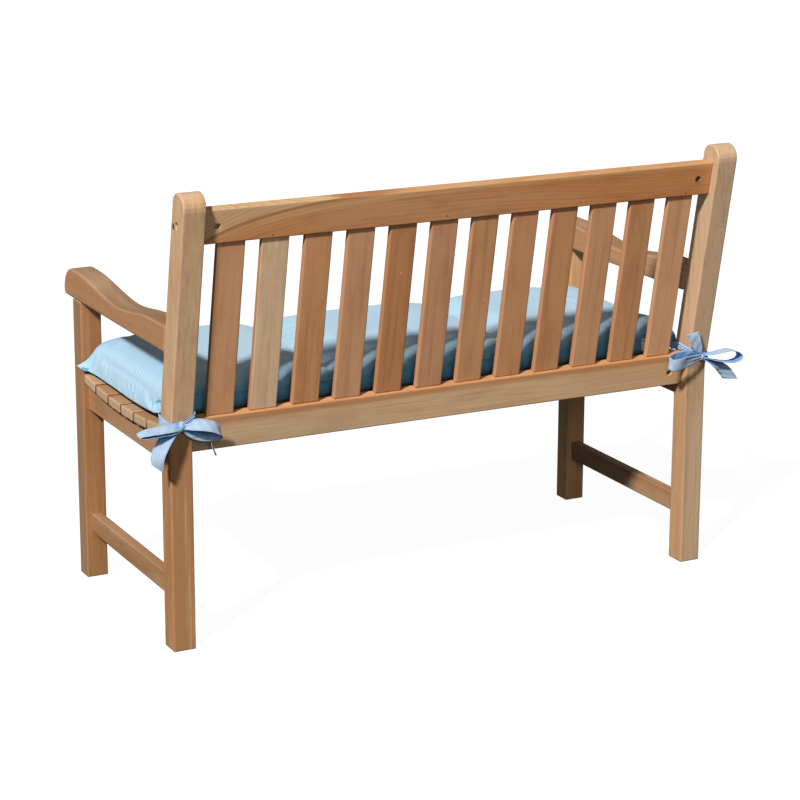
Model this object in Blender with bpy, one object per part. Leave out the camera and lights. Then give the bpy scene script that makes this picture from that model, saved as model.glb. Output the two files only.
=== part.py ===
"""Garden bench with a tied, padded seat cushion.

Metres, +Z up. X runs along the bench, the sitter faces -Y, and left is the sitter's left (+X).
The bench is drawn about the middle of its legs; one empty then puts the middle of its whole
outline over the world's origin.
"""

import math

import bmesh
import bpy
from mathutils import Vector

# ---------------------------------------------------------------- driving sizes of the bench
LENGTH = 1.200            # over the outer faces of the legs
LEG_SPAN = 0.517          # front of the front legs to the back of the rear posts, at the floor
POST_WIDTH = 0.0455       # rear post, along X
POST_DEPTH = 0.047        # rear post, along Y, below the seat
LEG_WIDTH = 0.045         # front leg, along X
LEG_DEPTH = 0.043         # front leg, along Y
HEIGHT = 0.9065           # crest of the rear posts
KINK_HEIGHT = 0.425       # where the rear posts' rear faces start to lean
FRONT_KINK = 0.468        # where their front faces start to lean
LEAN = 0.195              # rear posts' lean, metres back for each metre up
CREST_REAR = (0.036, 0.033)    # depth and height of the crest's round behind its top
CREST_FRONT_HIGH = 0.018       # height of the crest's round in front of its top
GAP = 0.0003              # joint gap between touching pieces

HALF = LENGTH / 2
FRONT = -LEG_SPAN / 2
REAR = LEG_SPAN / 2
POST_FRONT = REAR - POST_DEPTH
LEG_REAR = FRONT + LEG_DEPTH
LEAN_ANGLE = math.atan(LEAN)
BACK_DEPTH = POST_DEPTH + LEAN * (FRONT_KINK - KINK_HEIGHT)   # rear post, in its leaning part

# back: rails and slats lie in one leaning plane
RAIL_SETBACK = 0.0165     # rails' rear faces in front of the posts' rear faces
RAIL_THICK = 0.022
TOP_RAIL = (0.384, 0.452)      # lower and upper edge, measured up the lean from the kink
LOWER_RAIL = (-0.0415, 0.028)
BACK_SLATS = 12
BACK_SLAT_WIDTH = 0.057
BACK_SLAT_THICK = 0.012
BACK_SLAT_PITCH = 0.0893

# seat: a dished row of slats on two side rails, with one more slat between the front legs
SEAT_LOW = 0.4288         # top of the seat at the bottom of the dish
SEAT_DISH = 0.32          # the dish rises by this times y squared
SEAT_SLATS = 6
SEAT_SLAT_WIDTH = 0.0627
SEAT_SLAT_PITCH = 0.0682
SEAT_SLAT_THICK = 0.020
FIRST_SLAT_Y = -0.1722    # middle of the first slat behind the front legs
FRONT_SLAT_Y = -0.2412
FRONT_SLAT_WIDTH = 0.0555
FRONT_SLAT_TOP = 0.4440
RAIL_BOTTOM = 0.3622      # under edge of the seat rails
SIDE_RAIL_OUTER = 0.5875  # outer face of a side seat rail
SIDE_RAIL_THICK = 0.031
FRONT_RAIL_INSET = 0.005
STRETCHER = (0.0975, 0.1382)   # lower and upper edge
STRETCHER_THICK = 0.0215

# arms
ARM_BOTTOM = 0.5885
ARM_OUTER = 0.6005
ARM_WIDTH = 0.050
ARM_NOSE = -0.308         # foremost point of the arms
ARM_DIP = (               # y and height along an arm's top, from its nose to near the post
    (-0.262, 0.6485), (-0.205, 0.6470), (-0.150, 0.6408), (-0.100, 0.6340), (-0.050, 0.6280),
    (0.000, 0.6262), (0.055, 0.6310), (0.110, 0.6385), (0.165, 0.6425))
ARM_REAR_TOP = 0.6430     # height of the arm's top where it meets the post

# counterbored screw holes
RAIL_HOLE_RADIUS = 0.006
POST_HOLE_RADIUS = 0.007
HOLE_DEPTH = 0.008
RAIL_HOLE_X = 0.5235
TOP_HOLE_UP = 0.4185
LOWER_HOLE_UP = -0.0120
POST_HOLE_UP = 0.4220

# ---------------------------------------------------------------- driving sizes of the cushion
CUSHION_HALF = 0.590      # half length at the seam
CUSHION_FRONT = -0.2125   # seam at the front corners
CUSHION_REAR = 0.2030     # seam at the rear corners
FRONT_BULGE = 0.0090      # how far the front seam bows out between the legs
REAR_BULGE = 0.0030
BULGE_END = 0.93          # share of the half length at which both bulges end
EAR = 0.022               # how far each front corner is drawn out
EAR_LIFT = 0.009          # how far each front corner turns up
CORNER_IN = 0.013         # how far each rear corner is drawn in by its tie, along X and Y
SEAM_ROWS = (             # y and height of the seam: it bridges the seat's dish
    (-0.2215, 0.4535), (-0.195, 0.4445), (0.130, 0.4440), (0.185, 0.4570), (0.206, 0.4600))
PUFF = 0.0720             # thickness of the cushion, from the seat to the top
CROWN = 0.0120            # extra rise in the middle
EDGE_ROUND = 0.044        # width of the rounded shoulder
EDGE_POWER = 2.9          # how square the shoulder is
RIGHT_ROUND = 0.130       # the same two for the right end, which slopes away more
RIGHT_POWER = 3.4
RIGHT_FLAT = 0.6          # share of the crown that is gone at the right end
UNDER_ROUND = 0.045       # width of the turned-up edge underneath
UNDER_POWER = 1.4         # how square that edge is
EAR_SLOPE = 0.75          # rise of the ears' tops from their tips to the filled body
EAR_EDGE = 0.010          # width of the ears' rounded front edge
EAR_POWER = 8             # how sharply an ear is drawn out: higher is narrower
CHANNELS = (-0.190, 0.230)     # x of the two sewn channels
CHANNEL_DEPTH = 0.0150
CHANNEL_WIDTH = 0.030
EDGE_STEPS = (0, 0.0015, 0.004, 0.008, 0.014, 0.022, 0.032, 0.046)    # mesh lines in from a seam
CHANNEL_STEPS = (-0.024, -0.010, 0, 0.010, 0.024)                     # and about a channel
COLUMN_STEP = 0.034       # and elsewhere, along X
ROW_STEP = 0.030          # and along Y

# ---------------------------------------------------------------- driving sizes of the ties
RIBBON = 0.0255           # ribbon width
RIBBON_THICK = 0.0015
KNOT_RADII = (0.0075, 0.0055, 0.0088)

# ribbon sections in millimetres: x, y, z of the middle of the ribbon, its width as a share of
# RIBBON, and the direction of its width in degrees, from +Z towards -Y on strands that run
# along the bench, from +X towards +Y on the tails. TAIL_SLANT is the slant of a tail's cut end.
TAIL_SLANT = {"first_tail": 38, "second_tail": 30}
UP_TAIL_SLANT = {"first_tail": -8, "second_tail": 38}
LEFT_KNOT = (580.5, 270.2, 453.3)
LEFT_STRANDS = {
    "outer_wrap": ("across", [
        (579.5, 191.5, 457.8, 0.50, 0),
        (593.0, 196.5, 455.0, 0.75, 0),
        (601.6, 207.0, 452.5, 0.90, 0),
        (601.35, 222.0, 451.5, 0.85, 0),
        (601.35, 245.0, 451.5, 0.65, -4),
        (600.9, 262.5, 452.3, 0.50, -11),
        (597.2, 267.0, 452.8, 0.45, -11),
        (581.0, 269.4, 453.3, 0.40, -8)]),
    "inner_wrap": ("across", [
        (551.0, 202.0, 467.0, 0.65, 0),
        (552.9, 225.0, 473.5, 0.80, 0),
        (553.0, 250.0, 473.5, 0.70, -4),
        (553.9, 268.4, 470.0, 0.50, -11),
        (561.5, 272.0, 466.0, 0.42, -11),
        (580.0, 270.8, 454.5, 0.36, -8)]),
    "first_loop": ("along", [
        (582.5, 271.5, 453.2, 0.55, 40),
        (602.1, 276.5, 453.8, 0.90, 62),
        (628.1, 281.5, 454.0, 1.00, 70),
        (653.2, 283.5, 453.3, 0.95, 74),
        (667.0, 283.0, 450.9, 0.85, 80),
        (671.1, 282.0, 447.7, 0.80, 84),
        (666.2, 281.5, 445.5, 0.85, 80),
        (651.3, 281.0, 446.7, 0.95, 74),
        (626.6, 279.5, 448.3, 1.00, 70),
        (601.4, 275.5, 448.7, 0.90, 60),
        (582.4, 270.8, 451.0, 0.50, 40)]),
    "second_loop": ("along", [
        (578.5, 271.5, 453.8, 0.55, 20),
        (564.2, 276.5, 454.9, 0.85, 38),
        (547.7, 281.5, 454.7, 1.00, 40),
        (527.9, 283.0, 450.0, 1.00, 40),
        (511.9, 281.0, 442.1, 0.95, 36),
        (502.8, 275.0, 433.4, 0.85, 30),
        (506.4, 268.0, 427.4, 0.85, 25),
        (521.5, 265.5, 426.9, 0.90, 20),
        (541.8, 265.5, 430.2, 0.90, 18),
        (560.8, 268.5, 437.4, 0.75, 15),
        (576.5, 270.0, 448.7, 0.45, 10)]),
    "first_tail": ("down", [
        (584.5, 270.5, 451.0, 0.40, -22),
        (598.0, 274.0, 446.0, 0.75, -22),
        (616.5, 280.5, 433.8, 1.00, -22),
        (629.1, 283.5, 416.7, 1.05, -24),
        (635.9, 284.5, 400.4, 1.05, -24),
        (636.5, 284.5, 381.2, 0.85, -6)]),
    "second_tail": ("down", [
        (577.5, 271.0, 449.5, 0.36, 60),
        (563.9, 269.6, 440.6, 0.42, 66),
        (553.0, 266.8, 431.6, 0.60, 67),
        (543.8, 261.5, 421.4, 0.80, 68),
        (527.6, 256.5, 412.0, 0.90, 70),
        (516.9, 255.0, 400.5, 0.95, 72),
        (511.4, 254.5, 391.7, 0.95, 70),
        (505.1, 254.0, 381.6, 0.95, 68)]),
}
RIGHT_KNOT = (-583.0, 270.2, 452.8)
RIGHT_STRANDS = {
    "outer_wrap": ("across", [
        (-579.5, 191.5, 457.8, 0.50, 0),
        (-593.0, 196.5, 455.0, 0.75, 0),
        (-601.6, 207.0, 452.5, 0.90, 0),
        (-601.35, 222.0, 451.5, 0.85, 0),
        (-601.35, 245.0, 451.5, 0.65, -4),
        (-600.9, 262.5, 452.3, 0.50, -11),
        (-597.2, 267.0, 452.8, 0.45, -11),
        (-583.0, 269.4, 453.3, 0.40, -8)]),
    "inner_wrap": ("across", [
        (-551.0, 199.5, 462.0, 0.60, 0),
        (-552.7, 226.0, 468.6, 0.55, 0),
        (-552.3, 250.0, 467.2, 0.54, -4),
        (-553.6, 268.6, 465.8, 0.45, -11),
        (-562.5, 270.8, 461.5, 0.42, -11),
        (-581.0, 270.4, 454.5, 0.36, -8)]),
    "first_loop": ("along", [
        (-580.7, 268.6, 453.2, 0.45, -8),
        (-563.5, 270.3, 453.6, 0.80, -15),
        (-537.9, 269.5, 450.7, 1.00, -15),
        (-515.7, 268.0, 447.0, 1.00, -12),
        (-502.0, 271.5, 445.4, 1.00, -10),
        (-497.7, 279.5, 445.4, 1.00, -10),
        (-502.5, 287.0, 446.0, 1.00, -10),
        (-517.5, 290.0, 448.3, 1.05, -12),
        (-540.1, 285.5, 452.0, 0.90, -12),
        (-565.8, 277.0, 452.3, 0.65, -8),
        (-581.5, 273.4, 452.5, 0.40, 0)]),
    "second_loop": ("along", [
        (-585.0, 272.0, 455.3, 0.40, 90),
        (-602.7, 277.5, 457.3, 0.75, 90),
        (-623.1, 279.0, 459.9, 0.95, 90),
        (-641.9, 279.5, 461.0, 0.95, 90),
        (-659.7, 279.5, 457.0, 0.95, 90),
        (-671.6, 279.5, 447.3, 0.95, 90),
        (-664.3, 279.5, 437.9, 0.95, 90),
        (-643.5, 279.5, 435.6, 0.95, 90),
        (-619.0, 279.0, 440.4, 0.90, 90),
        (-600.2, 277.0, 445.9, 0.70, 90),
        (-585.0, 272.0, 450.1, 0.40, 90)]),
    "first_tail": ("down", [
        (-581.5, 271.6, 455.2, 0.36, -22),
        (-574.2, 275.2, 463.7, 0.50, -14),
        (-566.0, 278.4, 476.5, 0.82, -16),
        (-558.4, 279.6, 491.5, 0.95, -18),
        (-551.6, 279.6, 506.8, 1.08, -12)]),
    "second_tail": ("down", [
        (-585.0, 270.6, 449.0, 0.36, 26),
        (-600.0, 272.8, 440.0, 0.50, 22),
        (-615.0, 274.0, 431.5, 0.70, 12),
        (-629.0, 273.5, 423.0, 0.90, 0),
        (-640.5, 272.5, 413.3, 1.00, -10),
        (-649.0, 271.5, 403.5, 1.05, -14),
        (-654.9, 271.0, 395.5, 1.05, -16)]),
}
SECTION_STEPS = 4         # steps between two ribbon sections

# blank label on the rear seam
LABEL_X = -0.4975
LABEL_SIZE = (0.032, 0.0010, 0.0265)
LABEL_FOOT = (0.2049, 0.4600)  # y and z of the middle of its lower edge
LABEL_TILT = 3.0               # degrees towards the cushion

# ---------------------------------------------------------------- placing the whole
REARMOST = (REAR + LEAN * (HEIGHT - CREST_REAR[1] - KINK_HEIGHT)
            + math.hypot(CREST_REAR[0], LEAN * CREST_REAR[1]) - CREST_REAR[0])
MIDDLE_Y = (ARM_NOSE + REARMOST) / 2

COLOURS = {
    "wood": (0.40, 0.22, 0.11),
    "cushion_cloth": (0.42, 0.62, 0.76),
    "tie_ribbon": (0.48, 0.62, 0.78),
    "label_cloth": (0.86, 0.87, 0.88),
}


# ---------------------------------------------------------------- helpers
def clear_scene():
    """Remove whatever the file opened with."""
    for item in list(bpy.data.objects):
        bpy.data.objects.remove(item, do_unlink=True)


def make_material(name, roughness):
    """A plain material in the named colour."""
    material = bpy.data.materials.new(name)
    material.use_nodes = True
    shader = material.node_tree.nodes["Principled BSDF"]
    shader.inputs["Base Color"].default_value = (*COLOURS[name], 1.0)
    shader.inputs["Roughness"].default_value = roughness
    shader.inputs["Metallic"].default_value = 0.0
    return material


def add_object(name, mesh, material, location=(0, 0, 0), turn_x=0.0):
    """Place a mesh as a named piece of the bench."""
    piece = bpy.data.objects.new(name, mesh)
    bpy.context.scene.collection.objects.link(piece)
    piece.data.materials.append(material)
    piece.location = location
    piece.rotation_euler = (turn_x, 0, 0)
    piece.parent = BENCH
    return piece


def ease_edges(piece, width, segments=2):
    """Round the piece's sharp edges."""
    bevel = piece.modifiers.new("eased_edges", "BEVEL")
    bevel.width = width
    bevel.segments = segments
    bevel.limit_method = "ANGLE"
    bevel.angle_limit = math.radians(35)


def board(name, size, location, material, turn_x=0.0, ease=0.002):
    """A straight board: a box about its own middle, with eased edges."""
    mesh = bpy.data.meshes.new(name)
    shape = bmesh.new()
    bmesh.ops.create_cube(shape, size=1.0)
    bmesh.ops.scale(shape, vec=size, verts=shape.verts)
    shape.to_mesh(mesh)
    shape.free()
    piece = add_object(name, mesh, material, location, turn_x)
    ease_edges(piece, ease)
    return piece


def sawn_piece(name, outline, x_from, x_to, material, ease):
    """A piece sawn to an outline of (y, z) points and as thick as x_from to x_to."""
    mesh = bpy.data.meshes.new(name)
    shape = bmesh.new()
    face = shape.faces.new([shape.verts.new((x_from, y, z)) for y, z in outline])
    grown = bmesh.ops.extrude_face_region(shape, geom=[face])
    moved = [item for item in grown["geom"] if isinstance(item, bmesh.types.BMVert)]
    bmesh.ops.translate(shape, vec=(x_to - x_from, 0, 0), verts=moved)
    bmesh.ops.recalc_face_normals(shape, faces=shape.faces)
    shape.to_mesh(mesh)
    shape.free()
    piece = add_object(name, mesh, material)
    ease_edges(piece, ease)
    mesh.shade_smooth()
    mesh.set_sharp_from_angle(angle=math.radians(30))
    return piece


def back_point(up, inward):
    """(y, z) of a point on the leaning back: up the lean from the kink, inward from the rear."""
    sine = math.sin(LEAN_ANGLE)
    cosine = math.cos(LEAN_ANGLE)
    return REAR + up * sine - inward * cosine, KINK_HEIGHT + up * cosine + inward * sine


def drill(piece, centre, direction, radius, name):
    """Sink a blind round hole into a piece, from a point on its face."""
    mesh = bpy.data.meshes.new(name)
    shape = bmesh.new()
    bmesh.ops.create_cone(shape, cap_ends=True, segments=16, radius1=radius,
                          radius2=radius, depth=2 * HOLE_DEPTH)
    shape.to_mesh(mesh)
    shape.free()
    cutter = bpy.data.objects.new(name, mesh)
    bpy.context.scene.collection.objects.link(cutter)
    cutter.parent = BENCH
    cutter.location = centre
    cutter.rotation_mode = "QUATERNION"
    cutter.rotation_quaternion = Vector(direction).to_track_quat("Z", "Y")
    cutter.hide_render = True
    cutter.display_type = "WIRE"
    cut = piece.modifiers.new(name, "BOOLEAN")
    cut.operation = "DIFFERENCE"
    cut.object = cutter


def smooth_path(rows, steps):
    """Rows of numbers with `steps` steps between each two, on a curve through all of them."""
    result = []
    last = len(rows) - 1
    for index in range(last):
        before = rows[max(index - 1, 0)]
        start = rows[index]
        end = rows[index + 1]
        after = rows[min(index + 2, last)]
        for step in range(steps):
            t = step / steps
            result.append(tuple(
                0.5 * (2 * b + (c - a) * t + (2 * a - 5 * b + 4 * c - d) * t ** 2
                       + (3 * b - a - 3 * c + d) * t ** 3)
                for a, b, c, d in zip(before, start, end, after)))
    result.append(tuple(rows[last]))
    return result


# ---------------------------------------------------------------- bench
def rear_face(z):
    """y of a rear post's rear face at a height above its kink."""
    return REAR + LEAN * (z - KINK_HEIGHT)


def post_outline():
    """Side view of a rear post: upright, then leaning, with a rounded crest."""
    deep, high = CREST_REAR
    points = [(POST_FRONT, 0), (REAR, 0), (REAR, KINK_HEIGHT)]
    steps = 6
    for step in range(steps + 1):
        angle = math.pi / 2 * step / steps
        z = HEIGHT - high * (1 - math.sin(angle))
        points.append((rear_face(z) - deep * (1 - math.cos(angle)), z))
    for step in range(1, steps + 1):
        angle = math.pi / 2 * step / steps
        z = HEIGHT - CREST_FRONT_HIGH * (1 - math.cos(angle))
        points.append((rear_face(z) - deep - (BACK_DEPTH - deep) * math.sin(angle), z))
    points.append((POST_FRONT, FRONT_KINK))
    return points


def build_legs(wood):
    """Rear posts with a screw hole in the outer face, and front legs."""
    for side, sign in (("left", 1), ("right", -1)):
        inner = sign * (HALF - POST_WIDTH)
        outer = sign * HALF
        post = sawn_piece(f"rear_post_{side}", post_outline(), inner, outer, wood, 0.0022)
        y, z = back_point(POST_HOLE_UP, BACK_DEPTH / 2)
        drill(post, (outer, y, z), (sign, 0, 0), POST_HOLE_RADIUS, f"post_hole_{side}")
        height = ARM_BOTTOM - GAP
        board(f"front_leg_{side}", (LEG_WIDTH, LEG_DEPTH, height),
              (sign * (HALF - LEG_WIDTH / 2), FRONT + LEG_DEPTH / 2, height / 2), wood)


def back_board(name, width, x, thick, inward, span, wood):
    """A board of the back: `span` up the lean, its rear face `inward` of the posts'."""
    up = (span[0] + span[1]) / 2
    y, z = back_point(up, inward + thick / 2)
    return board(name, (width, thick, span[1] - span[0]), (x, y, z), wood, -LEAN_ANGLE)


def build_back(wood):
    """Top and lower rail between the posts, and the slats between the rails."""
    rail_length = 2 * (HALF - POST_WIDTH - GAP)
    out = (0, math.cos(LEAN_ANGLE), -math.sin(LEAN_ANGLE))
    for name, span, hole_up in (("top_rail", TOP_RAIL, TOP_HOLE_UP),
                                ("lower_back_rail", LOWER_RAIL, LOWER_HOLE_UP)):
        rail = back_board(name, rail_length, 0, RAIL_THICK, RAIL_SETBACK, span, wood)
        y, z = back_point(hole_up, RAIL_SETBACK)
        for side, sign in (("left", 1), ("right", -1)):
            drill(rail, (sign * RAIL_HOLE_X, y, z), out, RAIL_HOLE_RADIUS,
                  f"{name}_hole_{side}")
    inward = RAIL_SETBACK + (RAIL_THICK - BACK_SLAT_THICK) / 2
    span = (LOWER_RAIL[1] + GAP, TOP_RAIL[0] - GAP)
    first_x = BACK_SLAT_PITCH * (BACK_SLATS - 1) / 2
    for index in range(BACK_SLATS):
        back_board(f"back_slat_{index + 1:02d}", BACK_SLAT_WIDTH,
                   first_x - index * BACK_SLAT_PITCH, BACK_SLAT_THICK, inward, span, wood)


def seat_height(y):
    """Top of the dished seat at y."""
    return SEAT_LOW + SEAT_DISH * y * y


def slat_middles():
    """y of the middle of each seat slat behind the front legs."""
    return [FIRST_SLAT_Y + index * SEAT_SLAT_PITCH for index in range(SEAT_SLATS)]


def side_rail_outline():
    """Side view of a side seat rail: straight below, and above a facet under each slat."""
    drop = SEAT_SLAT_THICK + GAP
    middles = slat_middles()
    front = LEG_REAR + GAP
    rear = POST_FRONT - GAP

    def under(slat_y, y):
        """Underside of the slat whose middle is at slat_y, at y."""
        slope = 2 * SEAT_DISH * slat_y
        return seat_height(slat_y) + slope * (y - slat_y) - drop * math.hypot(1, slope)

    points = [(front, RAIL_BOTTOM), (rear, RAIL_BOTTOM), (rear, under(middles[-1], rear))]
    for low, high in reversed(list(zip(middles, middles[1:]))):
        y = (low + high) / 2
        points.append((y, under(low, y)))
    points.append((front, under(middles[0], front)))
    return points


def build_seat(wood):
    """Side and front rails, and the slats on them."""
    for side, sign in (("left", 1), ("right", -1)):
        sawn_piece(f"side_seat_rail_{side}", side_rail_outline(),
                   sign * (SIDE_RAIL_OUTER - SIDE_RAIL_THICK), sign * SIDE_RAIL_OUTER,
                   wood, 0.0015)
    between_legs = 2 * (HALF - LEG_WIDTH - GAP)
    rail_top = FRONT_SLAT_TOP - SEAT_SLAT_THICK - GAP
    board("front_seat_rail", (between_legs, RAIL_THICK, rail_top - RAIL_BOTTOM),
          (0, FRONT + FRONT_RAIL_INSET + RAIL_THICK / 2, (rail_top + RAIL_BOTTOM) / 2), wood)
    board("seat_slat_01", (between_legs, FRONT_SLAT_WIDTH, SEAT_SLAT_THICK),
          (0, FRONT_SLAT_Y, FRONT_SLAT_TOP - SEAT_SLAT_THICK / 2), wood, ease=0.003)
    for index, y in enumerate(slat_middles()):
        tilt = math.atan(2 * SEAT_DISH * y)
        middle = (0, y + SEAT_SLAT_THICK / 2 * math.sin(tilt),
                  seat_height(y) - SEAT_SLAT_THICK / 2 * math.cos(tilt))
        board(f"seat_slat_{index + 2:02d}", (LENGTH, SEAT_SLAT_WIDTH, SEAT_SLAT_THICK),
              middle, wood, tilt, ease=0.003)


def build_stretchers(wood):
    """The low rail between the front leg and the rear post at each end."""
    length = POST_FRONT - LEG_REAR - 2 * GAP
    for side, sign in (("left", 1), ("right", -1)):
        board(f"side_stretcher_{side}", (STRETCHER_THICK, length, STRETCHER[1] - STRETCHER[0]),
              (sign * (SIDE_RAIL_OUTER - STRETCHER_THICK / 2), (POST_FRONT + LEG_REAR) / 2,
               sum(STRETCHER) / 2), wood)


def arm_outline():
    """Side view of an arm: flat below, a round nose, a dip, and a level rear end."""
    heel_radius = 0.0115
    nose_middle, top_z = ARM_DIP[0]
    nose_z = ARM_BOTTOM + heel_radius

    def rear_at(z):
        """y where the arm meets the leaning post at height z."""
        return POST_FRONT - GAP + LEAN * (z - FRONT_KINK)

    dip = [*ARM_DIP, (rear_at(ARM_REAR_TOP), ARM_REAR_TOP)]
    points = [(rear_at(ARM_BOTTOM), ARM_BOTTOM)]
    points += reversed(smooth_path(dip, 3))
    steps = 8
    for step in range(1, steps):
        angle = math.pi / 2 * (1 - step / steps)
        points.append((nose_middle + (ARM_NOSE - nose_middle) * math.cos(angle),
                       nose_z + (top_z - nose_z) * math.sin(angle)))
    for step in range(5):
        angle = math.pi / 2 * step / 4
        points.append((ARM_NOSE + heel_radius * (1 - math.cos(angle)),
                       nose_z - (nose_z - ARM_BOTTOM) * math.sin(angle)))
    return points


def build_arms(wood):
    """Dipped arms on the front legs, butting against the rear posts."""
    for side, sign in (("left", 1), ("right", -1)):
        sawn_piece(f"arm_{side}", arm_outline(), sign * (ARM_OUTER - ARM_WIDTH),
                   sign * ARM_OUTER, wood, 0.0045)


# ---------------------------------------------------------------- cushion
def rounded_rise(distance, width, power):
    """0 at the seam, rising in a round shoulder to 1 at `width` from it."""
    share = 1 - min(max(distance / width, 0.0), 1.0)
    return (1 - share ** power) ** (1 / power)


def cushion_seam(u, v):
    """Plan position for u (-1 right end to 1 left end) and v (-1 front to 1 rear)."""
    middle = (CUSHION_FRONT + CUSHION_REAR) / 2
    half = (CUSHION_REAR - CUSHION_FRONT) / 2
    bulge = (FRONT_BULGE if v < 0 else REAR_BULGE) * max(1 - (abs(u) / BULGE_END) ** 8, 0)
    if v < 0:
        return u * (CUSHION_HALF + EAR * abs(v) ** EAR_POWER), middle + v * (half + bulge)
    x = u * (CUSHION_HALF - CORNER_IN * v ** 10)
    return x, middle + v * (half + bulge - CORNER_IN * abs(u) ** 20)


def seam_height(y):
    """Height of the seam above the floor at y, on straight runs between SEAM_ROWS."""
    for (low_y, low_z), (high_y, high_z) in zip(SEAM_ROWS, SEAM_ROWS[1:]):
        if y <= high_y:
            break
    return low_z + (high_z - low_z) * (y - low_y) / (high_y - low_y)


def cushion_heights(u, v):
    """Underside and top of the cushion above the floor at u, v."""
    x, y = cushion_seam(u, v)
    from_end = CUSHION_HALF * (1 - abs(u))
    from_side = (CUSHION_REAR - CUSHION_FRONT) / 2 * (1 - abs(v))
    seat = seat_height(y) + GAP
    seam = seam_height(y)
    if v < 0:
        seam += EAR_LIFT * abs(u) ** 24 * abs(v) ** 14
    under = (rounded_rise(from_end, UNDER_ROUND, UNDER_POWER)
             * rounded_rise(from_side, UNDER_ROUND, UNDER_POWER))
    bottom = seam + under * (seat - seam)
    end_round, end_power = (EDGE_ROUND, EDGE_POWER) if u > 0 else (RIGHT_ROUND, RIGHT_POWER)
    in_body = from_end - max(abs(x) - CUSHION_HALF * abs(u), 0)
    shoulder = (rounded_rise(in_body, end_round, end_power)
                * rounded_rise(from_side, EDGE_ROUND, EDGE_POWER))
    crown = CROWN * (1 - v * v) * (1 - RIGHT_FLAT * max(-u, 0) ** 8)
    channel = sum(math.exp(-abs(x - centre) / CHANNEL_WIDTH) for centre in CHANNELS)
    filled = shoulder * (seat + PUFF + crown - CHANNEL_DEPTH * channel - seam)
    ear = EAR_SLOPE * from_end * rounded_rise(from_side, EAR_EDGE, EDGE_POWER)
    return bottom, seam + max(filled, min(ear, EAR_SLOPE * EAR))


def stations(half, edges, inner_step, marks=()):
    """Positions from -half to half: close together near the edge, even inside, plus marks."""
    inside = half - edges[-1]
    count = math.ceil(2 * inside / inner_step)
    middle = [-inside + 2 * inside * index / count for index in range(1, count)]
    keep = [p for p in middle if all(abs(p - mark) > inner_step / 3 for mark in marks)]
    ends = [half - edge for edge in edges]
    return sorted(keep + list(marks) + ends + [-end for end in ends])


def build_cushion(cloth):
    """One filled solid: an underside on the seat, a puffed top with channels, and a seam."""
    marks = [centre + offset for centre in CHANNELS for offset in CHANNEL_STEPS]
    half_depth = (CUSHION_REAR - CUSHION_FRONT) / 2
    columns = [x / CUSHION_HALF
               for x in stations(CUSHION_HALF, EDGE_STEPS, COLUMN_STEP, marks)]
    rows = [y / half_depth for y in stations(half_depth, EDGE_STEPS, ROW_STEP)]
    mesh = bpy.data.meshes.new("cushion")
    shape = bmesh.new()
    upper = {}
    lower = {}
    for i, u in enumerate(columns):
        for j, v in enumerate(rows):
            x, y = cushion_seam(u, v)
            bottom, top = cushion_heights(u, v)
            upper[i, j] = shape.verts.new((x, y, top))
            on_seam = i in (0, len(columns) - 1) or j in (0, len(rows) - 1)
            lower[i, j] = upper[i, j] if on_seam else shape.verts.new((x, y, bottom))
    for i in range(len(columns) - 1):
        for j in range(len(rows) - 1):
            corners = ((i, j), (i + 1, j), (i + 1, j + 1), (i, j + 1))
            shape.faces.new([upper[corner] for corner in corners])
            shape.faces.new([lower[corner] for corner in reversed(corners)])
    bmesh.ops.recalc_face_normals(shape, faces=shape.faces)
    shape.to_mesh(mesh)
    shape.free()
    mesh.shade_smooth()
    add_object("cushion", mesh, cloth)


def build_label(cloth):
    """A blank label that stands on the rear seam."""
    width, thick, height = LABEL_SIZE
    tilt = math.radians(LABEL_TILT)
    y, z = LABEL_FOOT
    middle = (LABEL_X, y + thick / 2 - height / 2 * math.sin(tilt),
              z + height / 2 * math.cos(tilt))
    board("sewn_label", LABEL_SIZE, middle, cloth, tilt, ease=0.0003)


# ---------------------------------------------------------------- ties
def width_direction(kind, degrees, tangent):
    """Direction of the ribbon's width, square to the way it runs."""
    angle = math.radians(degrees)
    if kind == "down":
        wide = Vector((math.cos(angle), math.sin(angle), 0))
    else:
        wide = Vector((0, -math.sin(angle), math.cos(angle)))
    wide -= wide.dot(tangent) * tangent
    return wide.normalized()


def ribbon_solid(name, kind, rows, slant):
    """A closed strip that follows its sections, its far end cut at `slant` degrees."""
    path = smooth_path(rows, SECTION_STEPS)
    centres = [Vector(row[:3]) / 1000 for row in path]
    mesh = bpy.data.meshes.new(name)
    shape = bmesh.new()
    rings = []
    for index, row in enumerate(path):
        before = centres[max(index - 1, 0)]
        after = centres[min(index + 1, len(path) - 1)]
        tangent = (after - before).normalized()
        wide = width_direction(kind, row[4], tangent) * row[3] * RIBBON / 2
        thick = tangent.cross(wide).normalized() * RIBBON_THICK / 2
        past_middle = max(2 * index / (len(path) - 1) - 1, 0.0)
        wide -= tangent * wide.length * math.tan(math.radians(slant)) * past_middle
        rings.append([shape.verts.new(centres[index] + a * wide + b * thick)
                      for a, b in ((-1, -1), (1, -1), (1, 1), (-1, 1))])
    for first, second in zip(rings, rings[1:]):
        for corner in range(4):
            other = (corner + 1) % 4
            shape.faces.new((first[corner], first[other], second[other], second[corner]))
    shape.faces.new(reversed(rings[0]))
    shape.faces.new(rings[-1])
    bmesh.ops.recalc_face_normals(shape, faces=shape.faces)
    shape.to_mesh(mesh)
    shape.free()
    return mesh


def knot_mesh(name):
    """The small round lump of the knot, about its own middle."""
    mesh = bpy.data.meshes.new(name)
    shape = bmesh.new()
    bmesh.ops.create_uvsphere(shape, u_segments=14, v_segments=9, radius=1.0)
    bmesh.ops.scale(shape, vec=KNOT_RADII, verts=shape.verts)
    shape.to_mesh(mesh)
    shape.free()
    return mesh


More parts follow.
